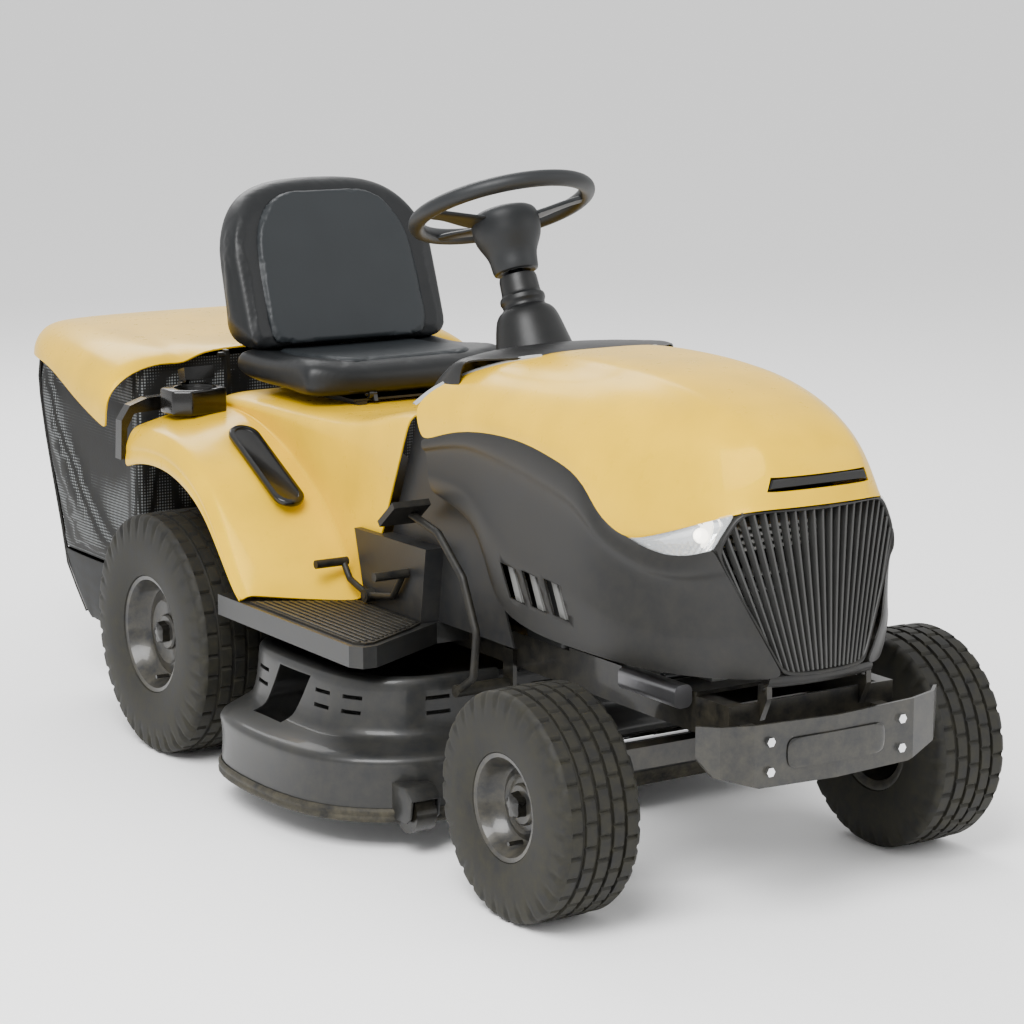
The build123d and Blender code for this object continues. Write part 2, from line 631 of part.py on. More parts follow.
def front_axle_beam():
    y = FRONT_AXLE_Y
    z = BEAM_PIVOT_Z
    beam = box(-KINGPIN_X + 10, KINGPIN_X - 10, y - 16, y + 16, z - 20, z + 17)
    beam += rod((0, y - 31, z), (0, y + 31, z), 18)
    for x in (-KINGPIN_X, KINGPIN_X):
        beam += Pos(x, y, z - 8) * Cylinder(18, 50)
    for x in (-KINGPIN_X, KINGPIN_X):
        beam -= Pos(x, y, z - 8) * Cylinder(KINGPIN_R + RUN, 80)
    return beam - rod((0, y - 40, z), (0, y + 40, z), BEAM_PIN_R + RUN)


def spindle(sign):
    y = FRONT_AXLE_Y
    x = sign * KINGPIN_X
    z = FRONT_TYRE_R
    top = BEAM_PIVOT_Z + 17
    knuckle = Pos(x, y, (z - 14 + 202 - GAP) / 2) * Box(32, 32, 202 - GAP - z + 14)
    pin = Pos(x, y, (z + top + 9) / 2) * Cylinder(KINGPIN_R, top + 9 - z)
    stub = rod((x, y, z), (sign * (FRONT_HALF_TRACK + 32), y, z), STUB_R)
    arm = box(x - 13, x + 13, y - 14, y + STEER_ARM + 12, top + GAP, top + GAP + 8)
    ball = Pos(x, y + STEER_ARM, top - 10) * Cylinder(6, 36)
    return knuckle + pin + stub + arm + ball


def tie_rod():
    y = FRONT_AXLE_Y + STEER_ARM
    z = BEAM_PIVOT_Z + 2
    bar = rod((-KINGPIN_X, y, z), (KINGPIN_X, y, z), TIE_ROD_R)
    for x in (-KINGPIN_X, KINGPIN_X):
        bar += Pos(x, y, z) * Cylinder(13, 18)
    for x in (-KINGPIN_X, KINGPIN_X):
        bar -= Pos(x, y, z) * Cylinder(6 + RUN, 60)
    return bar


# ---- wheels ----
def tyre(radius, width, bead, flange_x, flange_r):
    h = width / 2
    outer = [(-flange_x + 6, bead), (-flange_x + 6, flange_r), (-flange_x + 2, flange_r + 2),
             (-h + 2, flange_r + 16), (-h, (flange_r + radius) / 2), (-h + 5, radius - 16), (-h + 16,
                                                                                             radius - 3),
             (-h * 0.5, radius)]
    outer = outer + [(-x, r) for x, r in reversed(outer)]
    w = TYRE_WALL
    inner = [(-flange_x + 6 + w, bead), (-flange_x + 6 + w, flange_r + 6), (-h + w + 2, flange_r + 20),
             (-h + w, (flange_r + radius) / 2), (-h + w + 5, radius - 22), (-h * 0.5, radius - w - 3)]
    inner = inner + [(-x, r) for x, r in reversed(inner)]
    return outer + inner[::-1]


def rim(bead, flange_x, flange_r, hub_r, hub_half, bore_r, disc_x):
    t = RIM_WALL
    return [(-flange_x, bead - t), (-flange_x, flange_r), (-flange_x + 6, flange_r), (-flange_x + 6, bead),
            (flange_x - 6, bead), (flange_x - 6, flange_r), (flange_x, flange_r), (flange_x, bead - t),
            (disc_x + 3, bead - t), (disc_x + 3, hub_r), (hub_half, hub_r), (hub_half, bore_r),
            (-hub_half, bore_r), (-hub_half, hub_r), (disc_x - 1, hub_r), (disc_x - 1, bead - t)]


def wheel_parts(sign, rear):
    if rear:
        x, y, z = REAR_HALF_TRACK, REAR_AXLE_Y, REAR_TYRE_R
        rubber = tyre(REAR_TYRE_R, REAR_TYRE_W, REAR_BEAD_R, REAR_FACE_X, REAR_FLANGE_R)
        steel = rim(REAR_BEAD_R, REAR_FACE_X, REAR_FLANGE_R, 30, 45, AXLE_SHAFT_R - 1, 34)
    else:
        x, y, z = FRONT_HALF_TRACK, FRONT_AXLE_Y, FRONT_TYRE_R
        rubber = tyre(FRONT_TYRE_R, FRONT_TYRE_W, FRONT_BEAD_R, FRONT_FACE_X, FRONT_FLANGE_R)
        steel = rim(FRONT_BEAD_R, FRONT_FACE_X, FRONT_FLANGE_R, 22, 30, STUB_R + RUN, 14)
    move = Pos(sign * x, 0, 0)
    rubber = move * ring([(sign * a, r) for a, r in rubber], y, z)
    steel = move * ring([(sign * a, r) for a, r in steel], y, z)
    if rear:
        steel += rod((sign * 82, y, z), (sign * (x + 45), y, z), AXLE_SHAFT_R)
    return steel, rubber


# ---- pedals and levers ----
def brake_pedal():
    points = [(-275, -306, 553), (-275, -398, 534), (-275, -478, 470), (-275, -522, 380), (-275, -512, 300),
              (-275, BRAKE_PIVOT_Y, BRAKE_PIVOT_Z)]
    path = FilletPolyline(*points, radius=22)
    arm = sweep(Plane(origin=points[0], z_dir=Vector(*points[1]) - Vector(*points[0])) * Circle(7),
                path=path)
    cross = rod((-281, BRAKE_PIVOT_Y, BRAKE_PIVOT_Z), (-RAIL_X - 23 - GAP, BRAKE_PIVOT_Y, BRAKE_PIVOT_Z), 11)
    pad = Plane(origin=(-288, -306, 556), x_dir=(1, 0, 0), z_dir=(0, 0.62, 0.785)) * Box(74, 66, 12)
    pedal = arm + cross + pad
    bore = rod((-RAIL_X - 56, BRAKE_PIVOT_Y, BRAKE_PIVOT_Z), (-RAIL_X - 20, BRAKE_PIVOT_Y, BRAKE_PIVOT_Z),
               6 + RUN)
    return pedal - bore


def drive_pedal():
    x = -272
    hub = rod((x - 9, ROCKER_PIVOT_Y, ROCKER_PIVOT_Z), (x + 9, ROCKER_PIVOT_Y, ROCKER_PIVOT_Z), 12)
    points = [(x, -60, 425), (x, -84, 396), (x, ROCKER_PIVOT_Y, ROCKER_PIVOT_Z), (x, -238, 392), (x, -275,
                                                                                                  440)]
    path = FilletPolyline(*points, radius=14)
    arm = sweep(Plane(origin=points[0], z_dir=Vector(*points[1]) - Vector(*points[0])) * Circle(6),
                path=path)
    pads = rod((-330, -60, 425), (-264, -60, 425), 8) + rod((-332, -275, 440), (-264, -275, 440), 8)
    pedal = hub + arm + pads
    return pedal - rod((-283, ROCKER_PIVOT_Y, ROCKER_PIVOT_Z), (-260, ROCKER_PIVOT_Y, ROCKER_PIVOT_Z),
                       6 + RUN)


def latch_lever():
    """Collector latch lever behind the cup holder: a flat arm with a wide grip."""
    arm = side([(490, LATCH_Z), (504, LATCH_Z), (486, LATCH_Z + 32), (474, LATCH_Z + 28)], -314, -306)
    grip = side([(462, LATCH_Z + 16), (490, LATCH_Z + 12), (496, LATCH_Z + 32), (468, LATCH_Z + 40)], -326,
                -262)
    hub = rod((-314, LATCH_Y, LATCH_Z), (-306, LATCH_Y, LATCH_Z), 7)
    return arm + grip + hub - rod((-330, LATCH_Y, LATCH_Z), (-300, LATCH_Y, LATCH_Z), 3 + RUN)


def latch_boss():
    ear = box(-322, -314 - GAP, LATCH_Y - 7, LATCH_Y + 7, 665, LATCH_Z + 7)
    return ear + rod((-318, LATCH_Y, LATCH_Z), (-304, LATCH_Y, LATCH_Z), 3)


def slope_plane(x, height):
    """Plane on the dash's rear slope, facing the driver, at a height above its surface."""
    (y0, z0), (y1, z1) = DASH_SLOPE
    normal = Vector(0, z0 - z1, y1 - y0).normalized()
    middle = Vector(x, (y0 + y1) / 2, (z0 + z1) / 2)
    return Plane(origin=middle + normal * height, x_dir=(1, 0, 0), z_dir=normal)


def throttle_pin(x0, x1, radius):
    pivot = slope_plane(0, -THROTTLE_PIVOT_DEPTH).origin
    return rod((x0, pivot.Y, pivot.Z), (x1, pivot.Y, pivot.Z), radius)


def throttle_lever():
    x = THROTTLE_X
    stem = slope_plane(x, 2) * Box(5, 12, 48)
    grip = slope_plane(x, 28) * Box(26, 14, 12)
    return stem + grip + throttle_pin(x - 4, x + 4, 9) - throttle_pin(x - 5, x + 5, 3 + RUN)


def throttle_bracket():
    x = THROTTLE_X
    ear = slope_plane(x + 6 + GAP / 2, -16) * Box(4 - GAP, 16, 30)
    return ear + throttle_pin(x - 4, x + 8, 3)


def ignition_key():
    return slope_plane(KEY_X, -8) * Cylinder(KNOB_STEM_R, 44) + slope_plane(KEY_X, 21) * Box(5, 22, 16)


def pto_knob():
    return slope_plane(PTO_X, -8) * Cylinder(KNOB_STEM_R, 44) + slope_plane(PTO_X, 20) * Cylinder(14, 14)


# ---- seat ----
def seat_bracket():
    return twin(box(110, 130, 130, 440, SEAT_DECK_Z, SEAT_DECK_Z + TRACK_H))


def seat_slider():
    plate = box(-136, 136, SEAT_PIVOT_Y + 2, 430, SLIDER_Z, SLIDER_Z + 4)
    lug = side([(SEAT_PIVOT_Y - 10, SLIDER_Z), (SEAT_PIVOT_Y + 10, SLIDER_Z), (SEAT_PIVOT_Y + 6,
                                                                               SEAT_PIVOT_Z),
                (SEAT_PIVOT_Y - 6, SEAT_PIVOT_Z)], 90, 98)
    lug += rod((90, SEAT_PIVOT_Y, SEAT_PIVOT_Z), (98, SEAT_PIVOT_Y, SEAT_PIVOT_Z), 6.5)
    pin = rod((90, SEAT_PIVOT_Y, SEAT_PIVOT_Z), (112, SEAT_PIVOT_Y, SEAT_PIVOT_Z), 4)
    return plate + twin(lug + pin)


def seat_pan():
    plate = box(-150, 150, 126, 468, PAN_TOP_Z - 6, PAN_TOP_Z)
    lug = rod((98 + GAP, SEAT_PIVOT_Y, SEAT_PIVOT_Z), (107, SEAT_PIVOT_Y, SEAT_PIVOT_Z), 8.5)
    lug += box(98 + GAP, 107, SEAT_PIVOT_Y - 6, SEAT_PIVOT_Y + 9, SEAT_PIVOT_Z, PAN_TOP_Z - 6)
    lug -= rod((95, SEAT_PIVOT_Y, SEAT_PIVOT_Z), (115, SEAT_PIVOT_Y, SEAT_PIVOT_Z), 4 + RUN)
    stop = twin(box(60, 90, 400, 430, SLIDER_Z + 4 + GAP, PAN_TOP_Z - 6))
    return plate + twin(lug) + stop


def seat_cushion():
    half = [(0, 112), (150, 118), (212, 150), (SEAT_HALF_W, 210), (SEAT_HALF_W, 445), (0, 445)]
    pad = plan(mirrored(half), SEAT_LOW_Z, SEAT_TOP_Z)
    pad -= twin(box(86, 111, 100, 126, 680, PAN_TOP_Z))
    return pad - box(-151, 151, 122, 446, 680, PAN_TOP_Z)


def seat_back():
    profile = [(384, SEAT_TOP_Z + GAP), (428, 900), (500, 1066), (532, 1085), (560, 1070), (522, 930),
               (480, 800), (468, PAN_TOP_Z), (445 + GAP, PAN_TOP_Z),
               (445 + GAP, SEAT_TOP_Z + GAP)]
    shape = [(0, 690), (200, 690), (232, 770), (226, 930), (196, 1030), (120, 1080), (0, 1086)]
    return side(profile, -SEAT_HALF_W - 5, SEAT_HALF_W + 5) & front(mirrored(shape), 300, 600)


# ---- cutting deck ----
def deck_plan(inset=0.0):
    i = inset
    return mirrored([(0, -505 + i), (300, -500 + i), (400 - i * 0.3, -470 + i), (480 - i * 0.7,
                                                                                 -400 + i * 0.7),
                     (522 - i, -300), (DECK_HALF_W - i, -180), (522 - i, -60), (490 - i * 0.7, 20 - i * 0.7),
                     (420, 60 - i), (0, 60 - i)])


def cover_plan(inset=0.0):
    i = inset
    return mirrored([(0, -440 + i), (380, -425 + i), (432 - i, -380 + i * 0.5), (455 - i, -240),
                     (455 - i, -90), (430 - i, 40 - i), (0, 40 - i)])


def deck_shell():
    shell = plan(deck_plan(), DECK_LOW, DECK_SHELF_Z)
    shell -= plan(deck_plan(SHEET), DECK_LOW - 1, DECK_SHELF_Z - SHEET)
    shell -= twin(box(352, 404, -560, -456, 0, 120))
    # discharge mouth in the rear middle
    shell -= box(-112, 112, -40, 70, DECK_LOW - 1, DECK_SHELF_Z + 1)
    shell += twin(box(112, 116, -24, 57, 120, 192))
    for sign in (-1, 1):
        tower = Pos(sign * BLADE_X, BLADE_Y, DECK_SHELF_Z + 20) * Cylinder(38, 40)
        shell += tower
        shell -= Pos(sign * BLADE_X, BLADE_Y, DECK_SHELF_Z) * Cylinder(SPINDLE_R + RUN, 120)
    for x, y in deck_hanger_places():
        strap = box(x - 4, x + 4, y - 16, y + 16, DECK_SHELF_Z - 1, HANGER_TOP_Z)
        slot = box(x - 5, x + 5, y - 5 - RUN, y + 5 + RUN, HANGER_PIN_Z - 5 - 20, HANGER_PIN_Z + 5 + 32)
        shell += strap - slot
    shell += roller_arm()
    return shell


def roller_arm():
    """Cheeks and axle that carry the front anti-scalp rollers."""
    outline_points = [(-450, DECK_SHELF_Z - 1), (-474, DECK_SHELF_Z - 1), (-505, 112), (-516, 90), (-508,
                                                                                                    62),
                      (-450, 62)]
    cheeks = side(outline_points, 398, 404) + side(outline_points, 352, 358)
    cheeks += box(352, 404, -456, -450, DECK_LOW, DECK_SHELF_Z - 1)
    axle = rod((352, -492, 78), (408, -492, 78), 5)
    return twin(cheeks + axle)


def anti_scalp_roller(sign):
    wheel = rod((sign * (358 + GAP), -492, 78), (sign * (398 - GAP), -492, 78), ROLLER_R)
    return wheel - rod((sign * 350, -492, 78), (sign * 410, -492, 78), 5 + RUN)


def deck_cover():
    cover = plan(cover_plan(), DECK_SHELF_Z, COVER_TOP_Z)
    cover -= plan(cover_plan(SHEET), DECK_SHELF_Z - 1, COVER_TOP_Z + 1)
    cover -= box(-125, 125, 0, 60, DECK_SHELF_Z - 1, COVER_TOP_Z + 1)
    cover -= twin(box(RAIL_X - 22, RAIL_X + 22, -460, 60, COVER_TOP_Z - 12, COVER_TOP_Z + 1))
    window = side([(-93, 180), (-195, 180), (-245, 272), (-139, 272)], 400, 470)
    cover -= twin(window)
    for k in range(6):
        y = 10 - k * 62
        if k == 2:
            continue
        cover -= twin(box(400, 470, y - 34, y, 246, 252) + box(400, 470, y - 34, y, 222, 228))
    return cover


def deck_strip():
    strip = plan(deck_plan(-9), DECK_LOW - 12, DECK_LOW)
    strip -= plan(deck_plan(SHEET), DECK_LOW - 13, DECK_LOW + 1)
    strip -= box(340, 416, -560, -420, 0, 100) + box(-416, -340, -560, -420, 0, 100)
    return strip - box(-130, 130, 30, 80, 0, 100)


def blade(sign):
    x = sign * BLADE_X
    bar = box(-BLADE_R, BLADE_R, -28, 28, BLADE_Z - 3, BLADE_Z + 3)
    wing = box(BLADE_R - 70, BLADE_R, 10, 28, BLADE_Z + 3, BLADE_Z + 14)
    bar += wing + Rot(0, 0, 180) * wing
    turn = 0 if sign > 0 else 90
    bar = Pos(x, BLADE_Y, 0) * Rot(0, 0, turn) * bar
    shaft_top = BELT_Z + 12
    shaft = Pos(x, BLADE_Y, (BLADE_Z + shaft_top) / 2) * Cylinder(SPINDLE_R, shaft_top - BLADE_Z)
    pulley = Pos(x, BLADE_Y, BELT_Z) * Cylinder(PULLEY_R, 16)
    return bar + shaft + pulley


def drive_belt():
    def loop(radius, half_height):
        oval = SlotOverall(2 * (BLADE_X + radius), 2 * radius)
        return Pos(0, BLADE_Y, BELT_Z) * extrude(oval, amount=half_height, both=True)
    return loop(PULLEY_R + BELT_T, 5) - loop(PULLEY_R + GAP, 9)


# ---- grass collector ----
def lid_plan(inset=0.0):
    i = inset
    rear = LID_REAR_Y - i
    return [(0, 590 + i), (250 + i, 590 + i), (250 + i, 512 + i), (440 - i, 512 + i), (440 - i, 610),
            (415 - i, 910), (388 - i, 1070 - i * 0.5), (330 - i * 0.5, rear - 18), (0, rear)]


def lid_mass(inset=0.0, longer=0.0):
    i = inset
    top = [(500, 545 - longer), (540, 549 - longer), (625, 603 - longer), (950, 690 - longer),
           (1160, 690 - longer), (1160, 744 - i), (1050, 763 - i), (882, 762 - i), (590, 741 - i),
           (500, 692 - i)]
    return plan(mirrored(lid_plan(inset)), 400, 800) & side(top, -500, 500)


def collector_lid():
    lid = lid_mass() - lid_mass(SKIN, 20)
    lug = side([(LID_PIVOT_Y - 9, LID_PIVOT_Z + 9), (LID_PIVOT_Y - 9, LID_PIVOT_Z - 9),
                (LID_PIVOT_Y + 9, LID_PIVOT_Z - 9), (592, LID_PIVOT_Z - 30), (592, LID_PIVOT_Z + 9)],
               188 + GAP, 198)
    lug -= rod((180, LID_PIVOT_Y, LID_PIVOT_Z), (210, LID_PIVOT_Y, LID_PIVOT_Z), 6 + RUN)
    return lid + twin(lug)


def collector_bag():
    def sack(inset, forward, up):
        i = inset
        profile = [(606 - forward, 730 + up), (606 - forward, 392 + i), (700, 200 + i), (790, 142 + i),
                   (900, 140 + i), (985 - i, 250), (1075 - i, 590), (1095 - i, 700), (1095 - i, 730 + up)]
        half = mirrored([(0, 800), (BAG_HALF_W - i, 800), (BAG_HALF_W - i, 560), (352 - i, 130 + i),
                         (0, 130 + i)])
        return side(profile, -BAG_HALF_W, BAG_HALF_W) & front(half, 400, 1200)
    bag = sack(0, 0, 60) & lid_underside() & plan(mirrored(lid_plan(SKIN)), 100, 800)
    return bag - sack(5, 30, 80)


def lid_underside():
    """Space below the lid's inner face, for what hangs from it."""
    i = SKIN
    return side([(560, 100), (560, 741 - i - 2.5), (590, 741 - i), (882, 762 - i), (1050, 763 - i),
                 (1160, 744 - i), (1160, 100)], -450, 450)


def main():
    os.makedirs("parts", exist_ok=True)
    save("frame_rails", frame_rails())
    save("front_bumper", front_bumper())
    save("bumper_bolts", bumper_bolts())
    save("rear_plate", rear_plate())
    save("engine_block", engine_block())
    save("engine_shroud", engine_shroud())
    save("muffler", muffler())
    save("fuel_tank", fuel_tank())
    save("battery", battery())
    save("transaxle", transaxle())
    save("discharge_chute", discharge_chute())
    save("dash_console", dash_console())
    save("dash_panel", dash_panel())
    save("rear_body", rear_body())
    save("rear_trim", rear_trim())
    save("fender_mouldings", fender_mouldings())
    save("footplates", footplates())
    save("foot_mats", foot_mats())
    save("pedal_pedestals", pedal_pedestals())
    save("seat_bracket", seat_bracket())

    save("hood_shell", hood_shell())
    panel = side_panel()
    save("side_panel_left", panel)
    save("side_panel_right", other_side(panel))
    save("grille", grille())
    save("headlight_lenses", twin(headlight_lens()))
    save("headlight_lamps", twin(headlight_lamp()))

    save("steering_wheel", steering_wheel())
    save("steering_shaft", steering_shaft())
    save("front_axle_beam", front_axle_beam())
    save("spindle_left", spindle(1))
    save("spindle_right", spindle(-1))
    save("tie_rod", tie_rod())

    for end, rear in (("front", False), ("rear", True)):
        for name, sign in (("left", 1), ("right", -1)):
            steel, rubber = wheel_parts(sign, rear)
            save(f"{end}_rim_{name}", steel)
            save(f"{end}_tyre_{name}", rubber)

    save("brake_pedal", brake_pedal())
    save("drive_pedal", drive_pedal())
    save("latch_lever", latch_lever())
    save("throttle_lever", throttle_lever())
    save("ignition_key", ignition_key())
    save("pto_knob", pto_knob())

    save("seat_slider", seat_slider())
    save("seat_pan", seat_pan())
    save("seat_cushion", seat_cushion())
    save("seat_back", seat_back())

    save("deck_shell", deck_shell())
    save("deck_cover", deck_cover())
    save("deck_strip", deck_strip())
    save("drive_belt", drive_belt())
    save("blade_left", blade(1))
    save("blade_right", blade(-1))
    save("deck_roller_left", anti_scalp_roller(1))
    save("deck_roller_right", anti_scalp_roller(-1))

    save("collector_lid", collector_lid())
    save("collector_bag", collector_bag())


main()
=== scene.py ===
import math

import bpy
from mathutils import Matrix, Vector


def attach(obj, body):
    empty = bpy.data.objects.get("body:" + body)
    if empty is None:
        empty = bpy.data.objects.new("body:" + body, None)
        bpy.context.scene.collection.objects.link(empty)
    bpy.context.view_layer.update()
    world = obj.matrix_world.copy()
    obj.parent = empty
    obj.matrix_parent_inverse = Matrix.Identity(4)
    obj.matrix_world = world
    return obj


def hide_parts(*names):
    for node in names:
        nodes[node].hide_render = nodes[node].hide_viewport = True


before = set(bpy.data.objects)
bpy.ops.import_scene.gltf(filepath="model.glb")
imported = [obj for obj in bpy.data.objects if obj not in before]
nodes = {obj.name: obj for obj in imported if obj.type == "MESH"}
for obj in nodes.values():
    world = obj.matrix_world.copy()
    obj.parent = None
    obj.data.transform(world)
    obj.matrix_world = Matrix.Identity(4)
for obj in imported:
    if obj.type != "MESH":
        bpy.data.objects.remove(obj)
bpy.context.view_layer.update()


# ---- Hood top ----
# One pressed steel shell, enamelled yellow, hinged at the nose. It carries a raised middle with a soft
# crease down each side, rolls over at the shoulders and ends in a slot above the grille.

MM = 0.001


def apply(piece, kind, **values):
    """Adds a modifier, sets its values and applies it."""
    bpy.context.view_layer.objects.active = piece
    modifier = piece.modifiers.new(kind.title(), kind)
    for key, value in values.items():
        setattr(modifier, key, value)
    bpy.ops.object.modifier_apply(modifier=modifier.name)


def smooth(piece, degrees=35):
    bpy.ops.object.select_all(action="DESELECT")
    piece.select_set(True)
    bpy.context.view_layer.objects.active = piece
    bpy.ops.object.shade_smooth_by_angle(angle=math.radians(degrees))


def outward(piece):
    """Turns every face of a closed piece outward."""
    bpy.ops.object.select_all(action="DESELECT")
    piece.select_set(True)
    bpy.context.view_layer.objects.active = piece
    bpy.ops.object.mode_set(mode="EDIT")
    bpy.ops.mesh.select_all(action="SELECT")
    bpy.ops.mesh.remove_doubles(threshold=0.00002)
    bpy.ops.mesh.normals_make_consistent(inside=False)
    bpy.ops.object.mode_set(mode="OBJECT")


def skin(name, rows, wall=3.0, level=2, both=False, side=1, grow=-1):
    """A moulded sheet: a grid laid on the sections in rows, in mm, rounded and given its wall."""
    bpy.ops.object.select_all(action="DESELECT")
    bpy.ops.mesh.primitive_grid_add(x_subdivisions=len(rows[0]) - 1, y_subdivisions=len(rows) - 1, size=1)
    piece = bpy.context.object
    piece.name = piece.data.name = name
    for vertex, point in zip(piece.data.vertices, [p for row in rows for p in row]):
        vertex.co = Vector((point[0] * side, point[1], point[2])) * MM
    if both:
        apply(piece, "MIRROR", use_clip=True, merge_threshold=0.0002)
    if level:
        apply(piece, "SUBSURF", levels=level)
    if wall:
        apply(piece, "SOLIDIFY", thickness=wall * MM, offset=grow * side)
        outward(piece)
    smooth(piece, 50)
    return piece


def cut(piece, tools):
    """Takes the tools' bodies out of the piece and removes the tools."""
    for tool in tools:
        apply(piece, "BOOLEAN", operation="DIFFERENCE", object=tool, solver="EXACT")
        bpy.data.objects.remove(tool)


def prism(name, points, start, end, axis):
    """A straight bar with the outline given in mm across an axis, from start to end along it."""
    bpy.ops.object.select_all(action="DESELECT")
    bpy.ops.mesh.primitive_circle_add(vertices=len(points), radius=1, fill_type="NGON")
    piece = bpy.context.object
    piece.name = piece.data.name = name
    for vertex, (a, b) in zip(piece.data.vertices, points):
        place = {"X": (start, a, b), "Y": (a, start, b), "Z": (a, b, start)}[axis]
        vertex.co = Vector(place) * MM
    way = {"X": (1, 0, 0), "Y": (0, 1, 0), "Z": (0, 0, 1)}[axis]
    bpy.ops.object.mode_set(mode="EDIT")
    bpy.ops.mesh.select_all(action="SELECT")
    bpy.ops.mesh.extrude_region_move(TRANSFORM_OT_translate={"value": Vector(way) * (end - start) * MM})
    bpy.ops.mesh.select_all(action="SELECT")
    bpy.ops.mesh.normals_make_consistent(inside=False)
    bpy.ops.object.mode_set(mode="OBJECT")
    return piece


def join(name, pieces):
    bpy.ops.object.select_all(action="DESELECT")
    for piece in pieces:
        piece.select_set(True)
    bpy.context.view_layer.objects.active = pieces[0]
    if len(pieces) > 1:
        bpy.ops.object.join()
    piece = bpy.context.object
    piece.name = piece.data.name = name
    return piece


def linear(code):
    """An sRGB hex colour as linear light."""
    values = [int(code[i:i + 2], 16) / 255 for i in (1, 3, 5)]
    return tuple(v / 12.92 if v <= 0.04045 else ((v + 0.055) / 1.055) ** 2.4 for v in values) + (1.0,)


def add(tree, kind, **sockets):
    """Adds a node; a socket is set to a number or colour, or joined to another node's output."""
    node = tree.nodes.new("ShaderNode" + kind)
    for key, value in sockets.items():
        key = key.replace("_", " ")
        if hasattr(value, "is_output"):
            tree.links.new(value, node.inputs[key])
        else:
            node.inputs[key].default_value = value
    return node


def mixed(tree, share, one, two):
    """A colour between one and two."""
    node = tree.nodes.new("ShaderNodeMix")
    node.data_type = "RGBA"
    for index, value in ((0, share), (6, one), (7, two)):
        if hasattr(value, "is_output"):
            tree.links.new(value, node.inputs[index])
        else:
            node.inputs[index].default_value = value
    return node.outputs[2]


def ranged(tree, value, low, high, out_low, out_high):
    node = add(tree, "MapRange", Value=value)
    for key, number in (("From Min", low), ("From Max", high), ("To Min", out_low), ("To Max", out_high)):
        node.inputs[key].default_value = number
    return node.outputs[0]


def finish(name, colour, rough, metallic=0.0, coat=0.0, grain=0.02, grain_mm=0.8, dust=0.0, wear=0.08,
           dust_colour="#8d8468"):
    """A surface with a slow change of tone, a fine grain, and dust that settles on the lower parts."""
    material = bpy.data.materials.new(name)
    material.use_nodes = True
    tree = material.node_tree
    tree.nodes.clear()
    place = add(tree, "TexCoord").outputs["Object"]
    cloud = add(tree, "TexNoise", Vector=place, Scale=9.0, Detail=5.0).outputs[0]
    speck = add(tree, "TexNoise", Vector=place, Scale=1000 / (grain_mm * 4), Detail=2.0).outputs[0]
    smear = add(tree, "TexNoise", Vector=place, Scale=38.0, Detail=8.0, Roughness=0.7).outputs[0]
    base = linear(colour)
    dark = tuple(v * 0.86 for v in base[:3]) + (1.0,)
    tone = mixed(tree, ranged(tree, cloud, 0.35, 0.7, 0.0, 1.0), base, dark)
    height = add(tree, "SeparateXYZ", Vector=place).outputs[2]
    low = ranged(tree, height, 0.0, 0.75, dust * 2.0, dust * 0.4)
    share = add(tree, "Math", Value=low)
    share.operation = "MULTIPLY"
    tree.links.new(ranged(tree, smear, 0.35, 0.75, 0.0, 1.0), share.inputs[1])
    tone = mixed(tree, share.outputs[0], tone, linear(dust_colour))
    bump = add(tree, "Bump", Strength=1.0, Distance=grain * MM, Height=speck)
    shader = add(tree, "BsdfPrincipled", Base_Color=tone, Metallic=metallic,
                 Roughness=ranged(tree, smear, 0.3, 0.8, rough, rough + wear), Normal=bump.outputs[0])
    shader.inputs["Coat Weight"].default_value = coat
    if not metallic:
        shader.inputs["Specular IOR Level"].default_value = 0.32
    shader.inputs["Coat Roughness"].default_value = 0.06
    out = add(tree, "OutputMaterial")
    tree.links.new(shader.outputs[0], out.inputs[0])
    return material


def dress(piece, material):
    piece.data.materials.clear()
    piece.data.materials.append(material)


def mount(piece, material, slot, body, *stands_for):
    """Gives a new piece its surface and its moving body, and hides the nodes that it stands for. The slot
    argument is not used.
    """
    dress(piece, material)
    for node in stands_for:
        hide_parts(node)
    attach(piece, body)


# Enamel over steel and over the moulded bodywork: warm yellow under a clear coat, faint orange peel.
yellow = finish("yellow_enamel", "#E2B400", 0.26, coat=0.06, grain=0.015, grain_mm=2.5, dust=0.015)
enamel = next(node for node in yellow.node_tree.nodes if node.type == "BSDF_PRINCIPLED")
enamel.inputs["Specular Tint"].default_value = linear("#FFD640")
# Moulded charcoal plastic: satin, with a fine leather grain that breaks up the shine.
charcoal = finish("charcoal_plastic", "#171717", 0.40, grain=0.05, grain_mm=0.7, dust=0.03)
# Black glossy plastic trim.
gloss_black = finish("black_plastic", "#060606", 0.20, coat=0.2, grain=0.01, grain_mm=1.0, dust=0.02)

